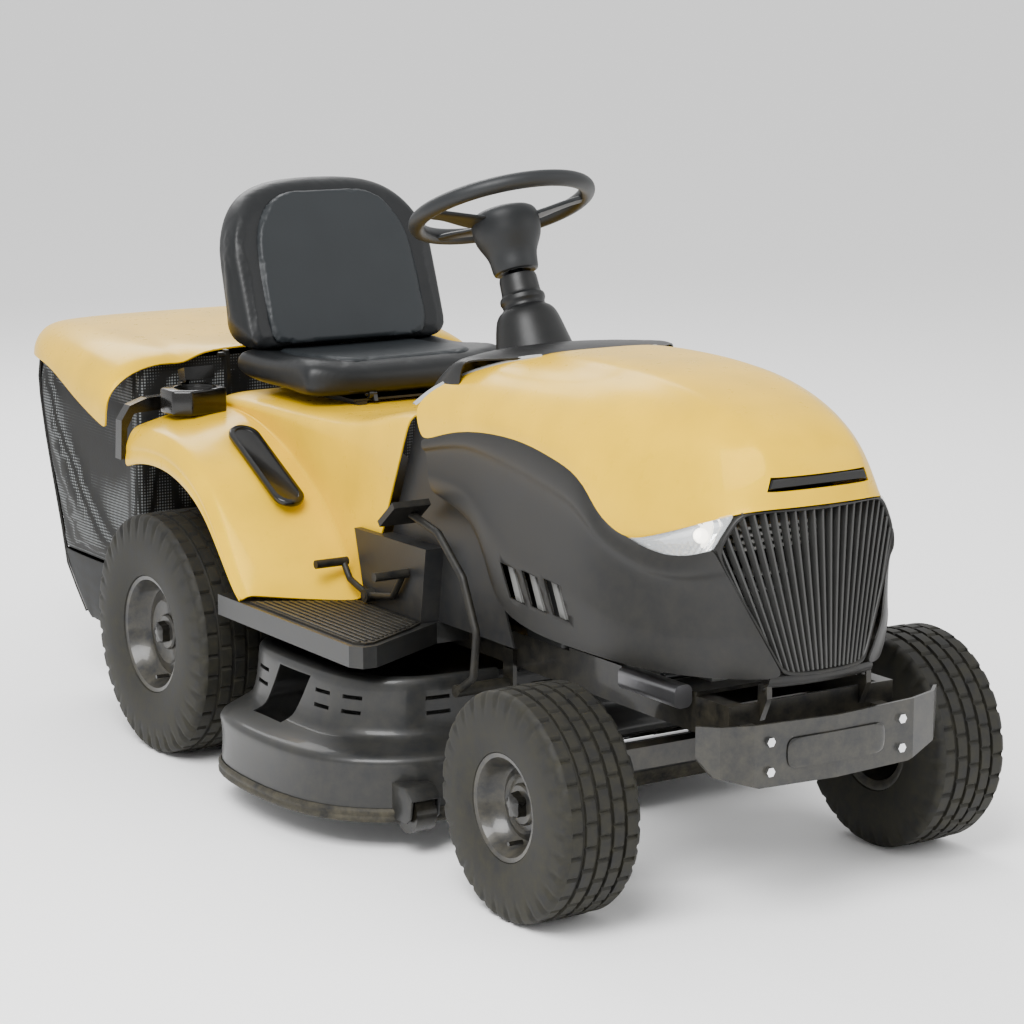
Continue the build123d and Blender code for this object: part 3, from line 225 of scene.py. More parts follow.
hood_rows = [
    [(0, -488, 842), (60, -488, 842), (110, -488, 840), (124, -484, 834), (165, -440, 824), (205, -385, 802),
     (235, -325, 772), (250, -286, 738), (251, -296, 712), (251, -309, 682)],
    [(0, -500, 844), (60, -500, 844), (110, -500, 842), (124, -498, 836), (165, -470, 828), (204, -425, 806),
     (235, -372, 776), (250, -330, 742), (251, -340, 715), (251, -348, 692)],
    [(0, -560, 847), (60, -560, 847), (110, -560, 845), (124, -560, 839), (164, -545, 831), (203, -520, 810),
     (235, -490, 780), (250, -462, 748), (252, -458, 733), (252, -452, 721)],
    [(0, -640, 849), (60, -640, 849), (109, -640, 846), (123, -640, 839), (162, -636, 830), (202, -630, 810),
     (234, -622, 780), (251, -618, 752), (252, -617, 740), (252, -617, 728)],
    [(0, -752, 849), (59, -752, 848), (106, -752, 844), (119, -751, 837), (156, -748, 828), (197, -742, 807),
     (231, -732, 775), (249, -722, 742), (252, -718, 725), (252, -714, 711)],
    [(0, -862, 838), (58, -862, 837), (102, -861, 832), (114, -858, 824), (149, -850, 813), (188, -836, 790),
     (225, -818, 756), (245, -804, 724), (250, -800, 707), (250, -798, 693)],
    [(0, -960, 817), (56, -960, 816), (97, -957, 810), (108, -953, 801), (142, -935, 790), (180, -908, 766),
     (214, -875, 730), (236, -848, 695), (242, -836, 665), (243, -828, 640)],
    [(0, -1038, 787), (53, -1037, 786), (92, -1033, 780), (102, -1027, 771), (134, -1002, 760),
     (170, -966, 737), (202, -925, 703), (224, -888, 664), (231, -868, 634), (232, -856, 616)],
    [(0, -1080, 755), (50, -1079, 754), (88, -1074, 749), (98, -1068, 741), (128, -1044, 730),
     (163, -1006, 708), (196, -962, 676), (216, -920, 640), (223, -892, 616), (225, -876, 606)],
    [(0, -1098, 715), (49, -1097, 714), (87, -1093, 710), (97, -1088, 704), (126, -1068, 696),
     (158, -1035, 680), (190, -990, 655), (212, -935, 625), (219, -900, 611), (221, -882, 604)],
    [(0, -1102, 680), (48, -1101, 680), (88, -1097, 678), (99, -1092, 675), (128, -1079, 670),
     (154, -1054, 660), (184, -1008, 641), (207, -950, 621), (216, -906, 608), (219, -886, 603)],
    [(0, -1103, 668), (48, -1102, 668), (88, -1099, 668), (100, -1095, 667), (130, -1081, 664),
     (152, -1060, 656), (180, -1016, 640), (204, -955, 619), (214, -908, 606), (218, -888, 602)]]
hood = skin("hood_top", hood_rows, wall=3.0, both=True)
cut(hood, [prism("slot", [(-101, 694), (101, 694), (93, 716), (-93, 716)], -1130, -1060, "Y")])
mount(hood, yellow, "yellow_paint", "hood", "hood_shell")

# The slot is lined with a black moulding that stands back from the paint.
lining = prism("hood_slot_lining", [(-98, 697), (98, 697), (91, 713), (-91, 713)], -1091, -1075, "Y")
apply(lining, "BEVEL", width=0.002, segments=2)
mount(lining, gloss_black, "black_plastic", "hood")

# A thin grey seal lies along the hood's slanted rear edge on both sides.
for sign, word in ((1, "left"), (-1, "right")):
    edge = [(118, -486, 838), (140, -462, 834), (165, -438, 825), (205, -383, 803), (235, -323, 773),
            (250, -284, 740)]
    lip = ((0, -3), (-1, 2), (5, 3), (10, 1), (11, -3))
    seal_rows = [[(x, y + d, z + h) for d, h in lip] for x, y, z in edge]
    seal = skin("hood_seal_" + word, seal_rows, wall=1.5, level=2, side=sign)
    mount(seal, finish("seal_grey_" + word, "#9C9D9B", 0.35, grain=0.02), "dark_plastic", "hood")


# ---- Hood side panels ----
# Charcoal mouldings screwed to the hood's frame. A raised band follows the paint's edge, the field below
# is drawn in, and a crease runs forward to the nose. Three slanted louvres let the engine's heat out.

def panel_rows():
    tops = [(251, -309, 682), (251, -380, 702), (252, -452, 720), (252, -540, 727), (252, -617, 728),
            (252, -710, 713), (250, -800, 692), (243, -829, 638), (222, -877, 603), (206, -950, 583),
            (192, -1010, 588), (180, -1050, 604), (177, -1059, 605)]
    feet = [(251, -341, 594), (251, -405, 582), (252, -476, 563), (252, -520, 486), (252, -550, 430),
            (252, -640, 408), (251, -741, 404), (250, -830, 405), (246, -905, 404), (222, -975, 402),
            (176, -1050, 400), (110, -1110, 402), (84, -1117, 405)]
    turns = [0, 0, 0, 0, 0, 0, 4, 12, 24, 34, 44, 52, 56]
    levels = [(0.0, 0), (0.05, 3), (0.16, 4), (0.19, -3), (0.40, -3), (0.62, 0), (0.68, 3), (0.9, 1),
              (1.0, -3)]
    rows = []
    for (tx, ty, tz), (fx, fy, fz), turn in zip(tops, feet, turns):
        c, s = math.cos(math.radians(turn)), math.sin(math.radians(turn))
        row = []
        for share, out in levels:
            bulge = out + 10 * math.sin(math.pi * share) * (turn / 60)
            row.append((tx + (fx - tx) * share + c * bulge - (1 if turn == 0 else 0),
                        ty + (fy - ty) * share - s * bulge, tz + (fz - tz) * share))
        rows.append(row)
    return rows


def louvre_corner(k):
    """Top front corner of opening k: y and z."""
    return -566 - k * 66, 492 - k * 2


def louvre(k, sign):
    y, z = louvre_corner(k)
    points = [(y, z + 18), (y - 48, z + 14), (y - 76, z - 42), (y - 28, z - 38)]
    return prism("louvre", points, 200 * sign, 262 * sign, "X")


louvre_grey = finish("louvre_grey", "#6A6A68", 0.42, grain=0.03)
for sign, word in ((1, "left"), (-1, "right")):
    panel = skin("hood_panel_" + word, panel_rows(), wall=3.0, side=sign)
    cut(panel, [louvre(k, sign) for k in range(3)])
    apply(panel, "BEVEL", width=0.001, segments=1, limit_method="ANGLE", angle_limit=math.radians(50))
    mount(panel, charcoal, "dark_plastic", "hood", "side_panel_" + word)
    # Pale slats stand a little inside the three openings.
    slats = []
    for k in range(3):
        for part in range(2):
            y, z = louvre_corner(k)
            y -= part * 23
            slats.append(prism("slat", [(y - 4, z + 19), (y - 21, z + 18), (y - 51, z - 44),
                                        (y - 34, z - 43)], 238 * sign, 246 * sign, "X"))
    slats = join("louvre_slats_" + word, slats)
    apply(slats, "BEVEL", width=0.0015, segments=2)
    mount(slats, louvre_grey, "dark_plastic", "hood")


# ---- Grille and nose ----
# A shield of thin charcoal slats that fan out upward, clipped into a frame with a bevelled lip, over a plain
# chin. Bright engine fins show through the gaps.

def face_y(x, z):
    """Depth of the grille's bowed face."""
    return -1103 - (668 - z) * 0.07 + 0.0014 * x * x


slats = []
for k in range(-8, 9):
    rows = [[(k * w, face_y(k * w, z), z), (k * w, face_y(k * w, z) + 17, z)]
            for w, z in ((17.2, 664), (8.7, 408))]
    slats.append(skin("slat", rows, wall=3.6, level=0, grow=0))
for k, low, high in ((9, 410, 645), (10, 440, 630), (11, 505, 612)):
    for sign in (1, -1):
        rows = []
        for z in (high, low):
            x = sign * k * (8.7 + 8.5 * (z - 408) / 256)
            rows.append([(x, face_y(x, z), z), (x, face_y(x, z) + 17, z)])
        slats.append(skin("slat", rows, wall=3.6, level=0, grow=0))
slats = join("grille_slats", slats)
apply(slats, "BEVEL", width=0.001, segments=2)
slat_grey = finish("grille_grey", "#3A3A39", 0.32, grain=0.02)
mount(slats, slat_grey, "dark_plastic", "hood", "grille")

half = [(0, 667), (60, 667), (120, 665), (144, 661), (158, 640), (179, 606), (170, 578), (132, 500),
        (101, 440),
        (86, 410), (70, 401), (0, 399)]
loop = half + [(-x, z) for x, z in reversed(half[:-1])]
frame_rows = []
for x, z in loop:
    inward = (Vector((0, 560)) - Vector((x, z))).normalized()
    y = face_y(x, z)
    frame_rows.append([(x + inward.x * d, y + h, z + inward.y * d) for d, h in
                       ((-1, 16), (-1, 0), (2, -4), (5, -4), (9, 1), (9, 16))])
grille_frame = skin("grille_frame", frame_rows, wall=1.5, level=2)
mount(grille_frame, charcoal, "dark_plastic", "hood")

chin_rows = [[(x, face_y(x, 400) + dy, z) for dy, z in ((-1, 404), (-2, 396), (4, 385), (30, 380))]
             for x in (-104, -84, -50, 0, 50, 84, 104)]
chin = skin("chin", chin_rows, wall=3, level=2)
mount(chin, charcoal, "dark_plastic", "hood")

cast = finish("cast_aluminium", "#B4B4B1", 0.42, metallic=0.85, grain=0.15, grain_mm=1.5, dust=0.05)
fins = [prism("fin", [(-122, z), (122, z), (122, z + 6), (-122, z + 6)], -1052, -1000, "Y")
        for z in range(596, 640, 11)]
fins += [prism("fin", [(-80 - (z - 430) * 0.3, z), (80 + (z - 430) * 0.3, z), (80, z + 5), (-80, z + 5)],
               -1062, -1010, "Y") for z in range(436, 580, 24)]
fins = join("engine_front_fins", fins)
apply(fins, "BEVEL", width=0.0012, segments=2)
mount(fins, cast, "cast_metal", "chassis")
backing = prism("grille_backing", [(-150, 655), (150, 655), (90, 425), (-90, 425)], -998, -992, "Y")
mount(backing, gloss_black, "black_plastic", "chassis")


# ---- Headlights ----
# A clear lens flush with the hood over a bright ribbed bowl and a round bulb, clipped in from behind.

lens_top = [(221, -878, 605), (211, -927, 617), (196, -975, 632), (176, -1022, 646), (157, -1056, 657),
            (147, -1070, 663)]
lens_foot = [(221, -882, 602), (207, -947, 584), (194, -1005, 588), (186, -1038, 598), (181, -1052, 604),
             (179, -1057, 608)]


def lamp_rows(inset, bulge):
    rows = []
    for share in (0.0, 0.25, 0.5, 0.75, 1.0):
        out = bulge * 4 * share * (1 - share) - inset
        rows.append([tuple(a + (b - a) * share + out * n for a, b, n in zip(p, q, (0.72, -0.69, 0.0)))
                     for p, q in zip(lens_top, lens_foot)])
    return rows


glass = bpy.data.materials.new("lamp_glass")
glass.use_nodes = True
shader = glass.node_tree.nodes["Principled BSDF"]
shader.inputs["Base Color"].default_value = linear("#F4F8FA")
shader.inputs["Roughness"].default_value = 0.03
shader.inputs["Alpha"].default_value = 0.22
chrome = finish("chrome", "#DADBDC", 0.07, metallic=1.0, grain=0.0, wear=0.05)
glow = bpy.data.materials.new("lit_bulb")
glow.use_nodes = True
shader = glow.node_tree.nodes["Principled BSDF"]
shader.inputs["Emission Color"].default_value = linear("#FFF6E0")
shader.inputs["Emission Strength"].default_value = 6.0
for sign, word in ((1, "left"), (-1, "right")):
    lens = skin("headlight_lens_" + word, lamp_rows(0, 3), wall=2, level=2, side=sign)
    mount(lens, glass, "lamp_glass", "hood")
    bowl = skin("headlight_bowl_" + word, lamp_rows(7, -16), wall=2, level=3, side=sign)
    for vertex in bowl.data.vertices:
        vertex.co.x -= sign * 0.0022 * math.sin(vertex.co.y * 520)
    mount(bowl, chrome, "lamp_reflector", "hood")
    bpy.ops.object.select_all(action="DESELECT")
    bpy.ops.mesh.primitive_uv_sphere_add(segments=32, ring_count=16, radius=0.012,
                                         location=(sign * 0.1735, -1.018, 0.622))
    bulb = bpy.context.object
    bulb.name = "headlight_bulb_" + word
    bpy.ops.object.transform_apply(location=True, rotation=False, scale=False)
    smooth(bulb)
    mount(bulb, glow, "lamp_glass", "hood")
    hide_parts("headlight_lenses")
    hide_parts("headlight_lamps")


# ---- Dashboard and column ----
# A black moulded cowl behind the hood with a wing on each side; a dome and a collar close it round the
# steering shaft. It clips to the console tower.

cowl_rows = [
    [(0, -486, 836), (60, -486, 836), (116, -482, 836), (158, -450, 834), (198, -416, 832), (219, -399, 829),
     (226, -393, 815), (227, -388, 765)],
    [(0, -440, 846), (60, -438, 846), (115, -426, 845), (158, -404, 842), (198, -384, 838), (220, -372, 831),
     (228, -366, 812), (229, -360, 758)],
    [(0, -335, 845), (60, -328, 842), (115, -318, 836), (158, -318, 828), (198, -322, 815), (219, -325, 800),
     (227, -325, 780), (228, -325, 745)],
    [(0, -272, 808), (60, -270, 806), (115, -267, 800), (158, -264, 792), (196, -270, 780), (215, -277, 768),
     (223, -280, 752), (224, -282, 735)],
    [(0, -217, 742), (60, -217, 742), (115, -219, 740), (150, -225, 738), (188, -243, 735), (209, -257, 732),
     (219, -265, 730), (221, -268, 726)]]
cowl = skin("dash_cowl", cowl_rows, wall=3, both=True)
dash_black = finish("dash_plastic", "#0E0F10", 0.38, grain=0.05, grain_mm=0.8, dust=0.02)
mount(cowl, dash_black, "dark_plastic", "chassis", "dash_panel")

TILT = math.radians(23.5)


def column_point(radius, angle, down):
    """A point round the steering column, measured down from the wheel's centre, in mm."""
    u, v = radius * math.cos(angle), radius * math.sin(angle)
    y = -172 + v * math.cos(TILT) - down * math.sin(TILT)
    z = 1064 - v * math.sin(TILT) - down * math.cos(TILT)
    return (u, y, z)


def column_turned(name, profile, level=1):
    rows = [[column_point(r, 2 * math.pi * i / 48, d) for r, d in profile] for i in range(49)]
    piece = skin(name, rows, wall=0, level=0)
    outward(piece)
    if level:
        apply(piece, "SUBSURF", levels=level)
    smooth(piece, 40)
    return piece


dome = column_turned("dash_dome", [(13, 128), (32, 128), (35, 131), (35, 163), (37, 166), (41, 168),
                                   (42, 178),
                                   (38, 182), (38, 190), (47, 194), (55, 204), (60, 222), (66, 250),
                                   (74, 285),
                                   (86, 325), (92, 360), (86, 360), (62, 260), (50, 212), (14, 200),
                                   (13, 128)])
mount(dome, dash_black, "dark_plastic", "chassis")


# ---- Steering wheel ----
# A grey soft-touch rim on three broad spokes that drop to a deep hub. The hub narrows to a collar and is
# pinned to the column shaft.

grip = finish("soft_grip", "#1B1D1F", 0.46, grain=0.05, grain_mm=0.9, dust=0.01)
bpy.ops.object.select_all(action="DESELECT")
bpy.ops.mesh.primitive_torus_add(major_radius=0.1574, minor_radius=0.0148, major_segments=128,
                                 minor_segments=28,
                                 location=(0, -0.172, 1.064), rotation=(-TILT, 0, 0))
rim = bpy.context.object
rim.name = "steering_rim"
bpy.ops.object.transform_apply(location=True, rotation=True, scale=True)
smooth(rim, 60)
hub = column_turned("steering_hub", [(0.5, 4), (38, 4), (52, 7), (60, 14), (63, 26), (62, 52), (57, 66),
                                     (47, 84),
                                     (43, 96), (42, 120), (39, 124), (14, 124), (13, 30), (0.5, 30),
                                     (0.5, 4)])
spokes = []
for angle in (-178, -18.5, 110):
    a = math.radians(angle)
    rows = []
    for r, width, down in ((50, 27, 20), (75, 25, 16), (105, 19, 9), (130, 15, 4), (150, 17, 2)):
        side_way = [(r * math.cos(a) - w * math.sin(a), r * math.sin(a) + w * math.cos(a), d)
                    for w, d in ((-width, down + 9), (-width, down), (0, down - 2), (width, down),
                                 (width, down + 9),
                                 (0, down + 10), (-width, down + 9))]
        rows.append([column_point(math.hypot(p, q), math.atan2(q, p), d) for p, q, d in side_way])
    spokes.append(skin("spoke", rows, wall=0, level=2))
wheel = join("steering_wheel_body", [hub] + spokes)
outward(wheel)
smooth(wheel, 50)
for piece in (rim, wheel):
    mount(piece, grip, "wheel_grip", "steering")
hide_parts("steering_wheel")


# ---- Seat ----
# A moulded vinyl seat: a foam cushion with a rolled front and raised sides, and a high rounded back. A softer
# panel is sewn into each behind a double seam. It is bolted to a pressed pan on slides.

vinyl = finish("seat_vinyl", "#101214", 0.40, grain=0.09, grain_mm=1.1, dust=0.01)
vinyl_pad = finish("seat_panel_vinyl", "#1B1F22", 0.46, grain=0.11, grain_mm=1.3, dust=0.01)


def settle(piece, cap, voxel=0, slack=0.02, pressure=0.0, gravity=0.0, held=None):
    """Lets a stuffed or stretched cover settle as cloth; no point ends more than cap mm from its start."""
    bpy.ops.object.select_all(action="DESELECT")
    piece.select_set(True)
    bpy.context.view_layer.objects.active = piece
    if voxel:
        apply(piece, "REMESH", mode="VOXEL", voxel_size=voxel * MM)
    start = [vertex.co.copy() for vertex in piece.data.vertices]
    cloth = piece.modifiers.new("Cloth", "CLOTH")
    values = cloth.settings
    values.quality = 5
    values.mass = 0.3
    values.tension_stiffness = values.compression_stiffness = 15
    values.bending_stiffness = 0.4
    values.shrink_min = -slack
    values.use_pressure = pressure > 0
    values.uniform_pressure_force = pressure
    values.effector_weights.gravity = gravity
    cloth.collision_settings.use_collision = False
    cloth.point_cache.frame_end = 20
    if held:
        group = piece.vertex_groups.new(name="held")
        group.add([k for k, point in enumerate(start) if held(point / MM)], 1.0, "ADD")
        values.vertex_group_mass = "held"
    for step in range(1, 21):
        bpy.context.scene.frame_set(step)
    bpy.ops.object.modifier_apply(modifier="Cloth")
    bpy.context.scene.frame_set(1)
    for vertex, point in zip(piece.data.vertices, start):
        move = vertex.co - point
        if move.length > cap * MM:
            vertex.co = point + move.normalized() * cap * MM
    apply(piece, "SMOOTH", iterations=2, factor=0.4)
    if voxel:
        apply(piece, "SUBSURF", levels=1)
    smooth(piece, 60)


def rings(name, stations, level=2):
    """A closed body through closed outlines, pinched shut at both ends."""
    piece = skin(name, [ring + ring[:1] for ring in stations], wall=0, level=0)
    outward(piece)
    bpy.ops.object.mode_set(mode="EDIT")
    bpy.ops.mesh.select_all(action="DESELECT")
    bpy.ops.mesh.select_non_manifold()
    bpy.ops.mesh.fill_holes(sides=0)
    bpy.ops.mesh.select_all(action="SELECT")
    bpy.ops.mesh.normals_make_consistent(inside=False)
    bpy.ops.object.mode_set(mode="OBJECT")
    apply(piece, "SUBSURF", levels=level)
    smooth(piece, 60)
    return piece


cushion_side = [(118, 696), (111, 712), (112, 734), (124, 750), (160, 757), (230, 752), (310, 746),
                (390, 746),
                (436, 752), (446, 730), (444, 704), (300, 698), (200, 695)]
stations = []
for x in (-230, -228, -218, -196, -165, -110, 0, 110, 165, 196, 218, 228, 230):
    edge = abs(x) / 230
    lift = 11 * max(0, (edge - 0.62) / 0.38) if edge < 0.98 else 2
    close = {230: 0.35, 228: 0.75, 218: 0.93}.get(abs(x), 1.0)
    front_in = 38 * edge ** 4
    ring = []
    for y, z in cushion_side:
        y = y + front_in * max(0, (300 - y) / 190)
        z = 728 + (z - 728) * close + (lift if z > 728 else 0)
        y = 290 + (y - 290) * (0.9 + 0.1 * close)
        ring.append((x, y, z))
    stations.append(ring)
cushion = rings("seat_cushion_cover", stations)
settle(cushion, cap=2.5, voxel=5, slack=0.003, pressure=4.0)
mount(cushion, vinyl, "seat_vinyl", "seat", "seat_cushion")

# The sewn panel of the cushion lies in its hollow, a little proud, with a groove round it.
pad_rows = []
for y, w, z in ((146, 110, 752), (152, 140, 757), (175, 158, 759), (230, 166, 757), (310, 168, 751),
                (380, 166, 750),
                (420, 158, 752), (428, 120, 748)):
    pad_rows.append([(x * w, y, z + 3 * abs(x) ** 3 - (6 if abs(x) == 1 else 0)) for x in
                     (-1, -0.97, -0.8, -0.5, 0, 0.5, 0.8, 0.97, 1)])
seat_pad = skin("seat_cushion_panel", pad_rows, wall=9, level=2)
settle(seat_pad, cap=4, voxel=4, slack=0.01, pressure=4.0)
mount(seat_pad, vinyl_pad, "seat_vinyl", "seat")


def back_front(z):
    return 386 + (z - 764) * 0.335 + 0.00018 * (z - 764) ** 2


def back_rear(z):
    return 470 + (z - 709) * 0.11 + 0.00038 * (z - 709) ** 2


stations = []
for x, top in ((-233, 880), (-231, 930), (-222, 978), (-200, 1028), (-160, 1062), (-100, 1080), (0, 1085),
               (100, 1080), (160, 1062), (200, 1028), (222, 978), (231, 930), (233, 880)):
    low = 752 if abs(x) < 215 else (770 if abs(x) < 225 else 800)
    bolster = 16 * max(0, (abs(x) - 150) / 80) if abs(x) < 226 else 0
    thin = {233: 0.3, 231: 0.7}.get(abs(x), 1.0)
    ring = []
    for share in (0.0, 0.08, 0.3, 0.6, 0.85, 0.97):
        z = low + (top - low) * share
        middle = (back_front(z) + back_rear(z)) / 2
        ring.append((x, middle + (back_front(z) - bolster - middle) * thin, z))
    ring.append((x, (back_front(top) + back_rear(top)) / 2, top))
    for share in (0.97, 0.85, 0.6, 0.3, 0.08, 0.0):
        z = low + (top - low) * share
        middle = (back_front(z) + back_rear(z)) / 2
        ring.append((x, middle + (back_rear(z) - middle) * thin, z))
    stations.append(ring)
back = rings("seat_back_cover", stations)
settle(back, cap=2.5, voxel=5, slack=0.003, pressure=4.0)
mount(back, vinyl, "seat_vinyl", "seat", "seat_back")

pad_rows = []
for z, w in ((764, 150), (769, 172), (795, 182), (860, 186), (930, 183), (985, 172), (1028, 146),
             (1052, 108),
             (1059, 74)):
    pad_rows.append([(x * w, back_front(z) - 9 - 4 * abs(x) ** 3 + (9 if abs(x) == 1 else 0), z) for x in
                     (-1, -0.97, -0.8, -0.5, 0, 0.5, 0.8, 0.97, 1)])
back_pad = skin("seat_back_panel", pad_rows, wall=9, level=2)
settle(back_pad, cap=4, voxel=4, slack=0.01, pressure=4.0)
mount(back_pad, vinyl_pad, "seat_vinyl", "seat")


# ---- Rear body ----
# One large yellow moulding: a step under the seat, and a fender each side with a rolled double lip round the
# wheel arch. It is screwed to the frame and runs down to the footplates.

step_line = [(-98, 357), (-78, 374), (-40, 412), (0, 458), (60, 520), (130, 565), (210, 602), (290, 630),
             (370, 643), (440, 646), (482, 646)]
arch_line = [(14, 358), (30, 366), (52, 386), (80, 416), (112, 450), (150, 488), (210, 526), (290, 551),
             (370, 557), (440, 549), (482, 538)]
crown = [2, 10, 20, 28, 36, 44, 50, 52, 52, 56, 60]
fender_rows = []
for (yi, zi), (yo, zo), h in zip(step_line, arch_line, crown):
    row = []
    for x, share in ((249, 0.0), (290, 0.18), (335, 0.42), (380, 0.66), (412, 0.82), (432, 0.93)):
        z = zi + (zo + h + 10 - zi) * share ** 1.6
        row.append((x, yi + (yo - yi) * share, min(z, 646 - 12 * share)))
    row += [(443, yo - (1 if yo < 400 else 0), zo + h * 0.86), (448, yo, zo + h * 0.62),
            (446, yo, zo + h * 0.46),
            (449, yo, zo + h * 0.34), (449, yo, zo + h * 0.12), (447, yo, zo), (438, yo + 1, zo)]
    fender_rows.append(row)
for sign, word in ((1, "left"), (-1, "right")):
    fender = skin("fender_" + word, fender_rows, wall=3.5, level=2, side=sign)
    mount(fender, yellow, "yellow_paint", "chassis", "rear_body")

step_top = [(-254, 724), (-200, 717), (-150, 707), (-100, 694), (-40, 683), (20, 678), (120, 676),
            (250, 675),
            (370, 675), (440, 674), (482, 664)]
step_rows = []
for (yt, zt), (yf, zf) in zip(step_top, step_line):
    row = [(0, yt, zt), (110, yt, zt), (190, yt, zt)]
    row += [(228, yt, zt - 3), (243, yt + (yf - yt) * 0.04, zt - 14)]
    row += [(248, yt + (yf - yt) * s, (zt - 20) + (zf - zt + 20) * s) for s in (0.1, 0.3, 0.6, 0.85, 0.97)]
    row.append((252, yf, zf))
    step_rows.append(row)
step = skin("seat_step", step_rows, wall=3.0, level=2, both=True)
mount(step, yellow, "yellow_paint", "chassis")


# ---- Collector lid ----
# A yellow moulded cover with a raised middle, a deep furrow and a rounded ridge each side, then a steep
# wall that runs down to the fender line. It is hinged with the bag.

lid_rows = [
    [(0, 592, 741), (120, 592, 741), (230, 592, 738), (262, 592, 712), (310, 592, 720), (380, 592, 706),
     (430, 592, 668), (440, 592, 630), (440, 592, 600)],
    [(0, 625, 746), (120, 625, 746), (230, 625, 744), (262, 622, 736), (310, 612, 742), (380, 606, 728),
     (425, 604, 700), (440, 604, 655), (438, 604, 596)],
]
plan_x = [0, 120, 230, 275, 330, 385, 422, 438, 440]
heights = [(740, 753, 753, 752, 750, 756, 744, 715, 680, 640),
           (882, 760, 761, 761, 758, 763, 752, 725, 700, 686),
           (1000, 763, 763, 762, 761, 763, 755, 735, 712, 692)]
for y, *tall in heights:
    pull = {740: 1.0, 882: 0.965, 1000: 0.93}[y]
    lid_rows.append([(x * (pull if x > 380 else 1), y, z) for x, z in zip(plan_x, tall)])
lid_rows += [
    [(0, 1090, 757), (120, 1090, 757), (230, 1090, 756), (275, 1090, 754), (310, 1089, 752),
     (344, 1086, 744),
     (366, 1080, 728), (378, 1076, 708), (380, 1074, 690)],
    [(0, 1140, 752), (120, 1139, 752), (230, 1135, 750), (275, 1130, 748), (305, 1122, 745),
     (330, 1112, 738),
     (345, 1104, 725), (352, 1098, 708), (354, 1096, 692)],
    [(0, 1150, 735), (120, 1149, 735), (230, 1145, 733), (275, 1140, 731), (305, 1133, 728),
     (332, 1121, 722),
     (348, 1111, 712), (354, 1103, 702), (356, 1099, 692)],
    [(0, 1151, 692), (120, 1150, 692), (230, 1146, 692), (275, 1141, 692), (305, 1134, 692),
     (332, 1122, 692),
     (348, 1112, 692), (355, 1104, 691), (357, 1100, 690)],
]
lid = skin("collector_lid_shell", lid_rows, wall=3.5, level=2, both=True)
mount(lid, yellow, "yellow_paint", "collector", "collector_lid")


# ---- Collector bag ----
# A woven black mesh sack pulled over a wire frame, open under the lid, tapered toward its foot; the foot is a
# close woven coated cloth. Light shows through the open weave as rows of small dots.

def weave(name, cloth, hole, pitch, share):
    """Cloth with small spots of the hole colour in rows pitch mm apart, painted into the surface colour; on
    the open mesh they are painted light, the light seen through the weave.
    """
    material = finish(name, cloth, 0.62, grain=0.2, grain_mm=1.4, dust=0.03)
    tree = material.node_tree
    shader = next(n for n in tree.nodes if n.type == "BSDF_PRINCIPLED")
    place = add(tree, "TexCoord").outputs["Object"]
    cells = add(tree, "TexVoronoi", Vector=place, Scale=1000 / pitch, Randomness=0.0)
    spots = ranged(tree, cells.outputs["Distance"], share, share + 0.12, 1.0, 0.0)
    old = shader.inputs["Base Color"].links[0].from_socket
    tree.links.new(mixed(tree, spots, old, linear(hole)), shader.inputs["Base Color"])
    return material


# The grey dots on the black mesh are painted light: light seen through the open weave, painted as colour with
# no real openings.
mesh_cloth = weave("collector_mesh", "#08090A", "#6E7172", 6.0, 0.28)
coated_cloth = weave("coated_cloth", "#0F1113", "#1E2023", 3.0, 0.30)


def bag_ring(z, near, far, half, soft=16):
    return [(0, near, z), (half * 0.5, near + 1, z), (half - soft * 2.2, near, z),
            (half - soft * 0.5, near + 3, z),
            (half, near + soft * 1.4, z), (half - 1, near + (far - near) * 0.35, z),
            (half - 1, near + (far - near) * 0.7, z), (half, far - soft * 1.4, z),
            (half - soft * 0.5, far - 4, z),
            (half - soft * 2.2, far, z), (half * 0.5, far + 1, z), (0, far, z)]


def bag_part(name, rings_list, material, wall):
    part = skin(name, [bag_ring(*ring) for ring in rings_list], wall=0, level=2, both=True)
    low = min(ring[0] for ring in rings_list)
    far = max(ring[2] for ring in rings_list)
    settle(part, cap=9, slack=0.012, gravity=1.0,
           held=lambda p: p.z > 690 or p.z < low + 14 or (abs(p.x) > 330 and p.y > far - 330 and p.z > 300
                                                          and abs(p.y - (p.z - 700) / 2.7 - 1088) < 22))
    apply(part, "SOLIDIFY", thickness=wall * MM, offset=1)
    outward(part)
    smooth(part, 50)
    mount(part, material, "bag_mesh", "collector")
    return part


upper_bag = bag_part("collector_mesh_sack", [
    (722, 610, 1090, 356), (700, 609, 1088, 358), (640, 608, 1080, 372), (600, 608, 1074, 374),
    (520, 608, 1052, 373),
    (440, 608, 1031, 370), (392, 610, 1018, 367), (330, 634, 1002, 364), (288, 655, 991, 362)], mesh_cloth,
    3)
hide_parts("collector_bag")
foot = bag_part("collector_foot", [
    (292, 651, 995, 365), (284, 655, 993, 365), (250, 672, 981, 362), (205, 698, 948, 358),
    (165, 752, 918, 354),
    (146, 788, 900, 346), (141, 812, 885, 330), (141, 838, 856, 200)], coated_cloth, 3)
seams = []
for sign in (1, -1):
    line = [(357, 1086, 715), (371, 1073, 640), (372, 1066, 600), (371, 1046, 520), (368, 1025, 440),
            (363, 996, 330),
            (361, 976, 252), (357, 942, 205), (352, 908, 160)]
    bpy.ops.curve.primitive_nurbs_path_add()
    seam = bpy.context.object
    seam.data.splines.clear()
    spline = seam.data.splines.new("POLY")
    spline.points.add(len(line) - 1)
    for point, (x, y, z) in zip(spline.points, line):
        point.co = (sign * (x - 4) * MM, (y - 3) * MM, z * MM, 1)
    seam.data.bevel_depth = 0.0045
    seam.data.bevel_resolution = 2
    bpy.ops.object.convert(target="MESH")
    seam = bpy.context.object
    seam.location = (0, 0, 0)
    seams.append(seam)
piping = join("bag_piping", seams)
smooth(piping, 60)
mount(piping, gloss_black, "bag_mesh", "collector")


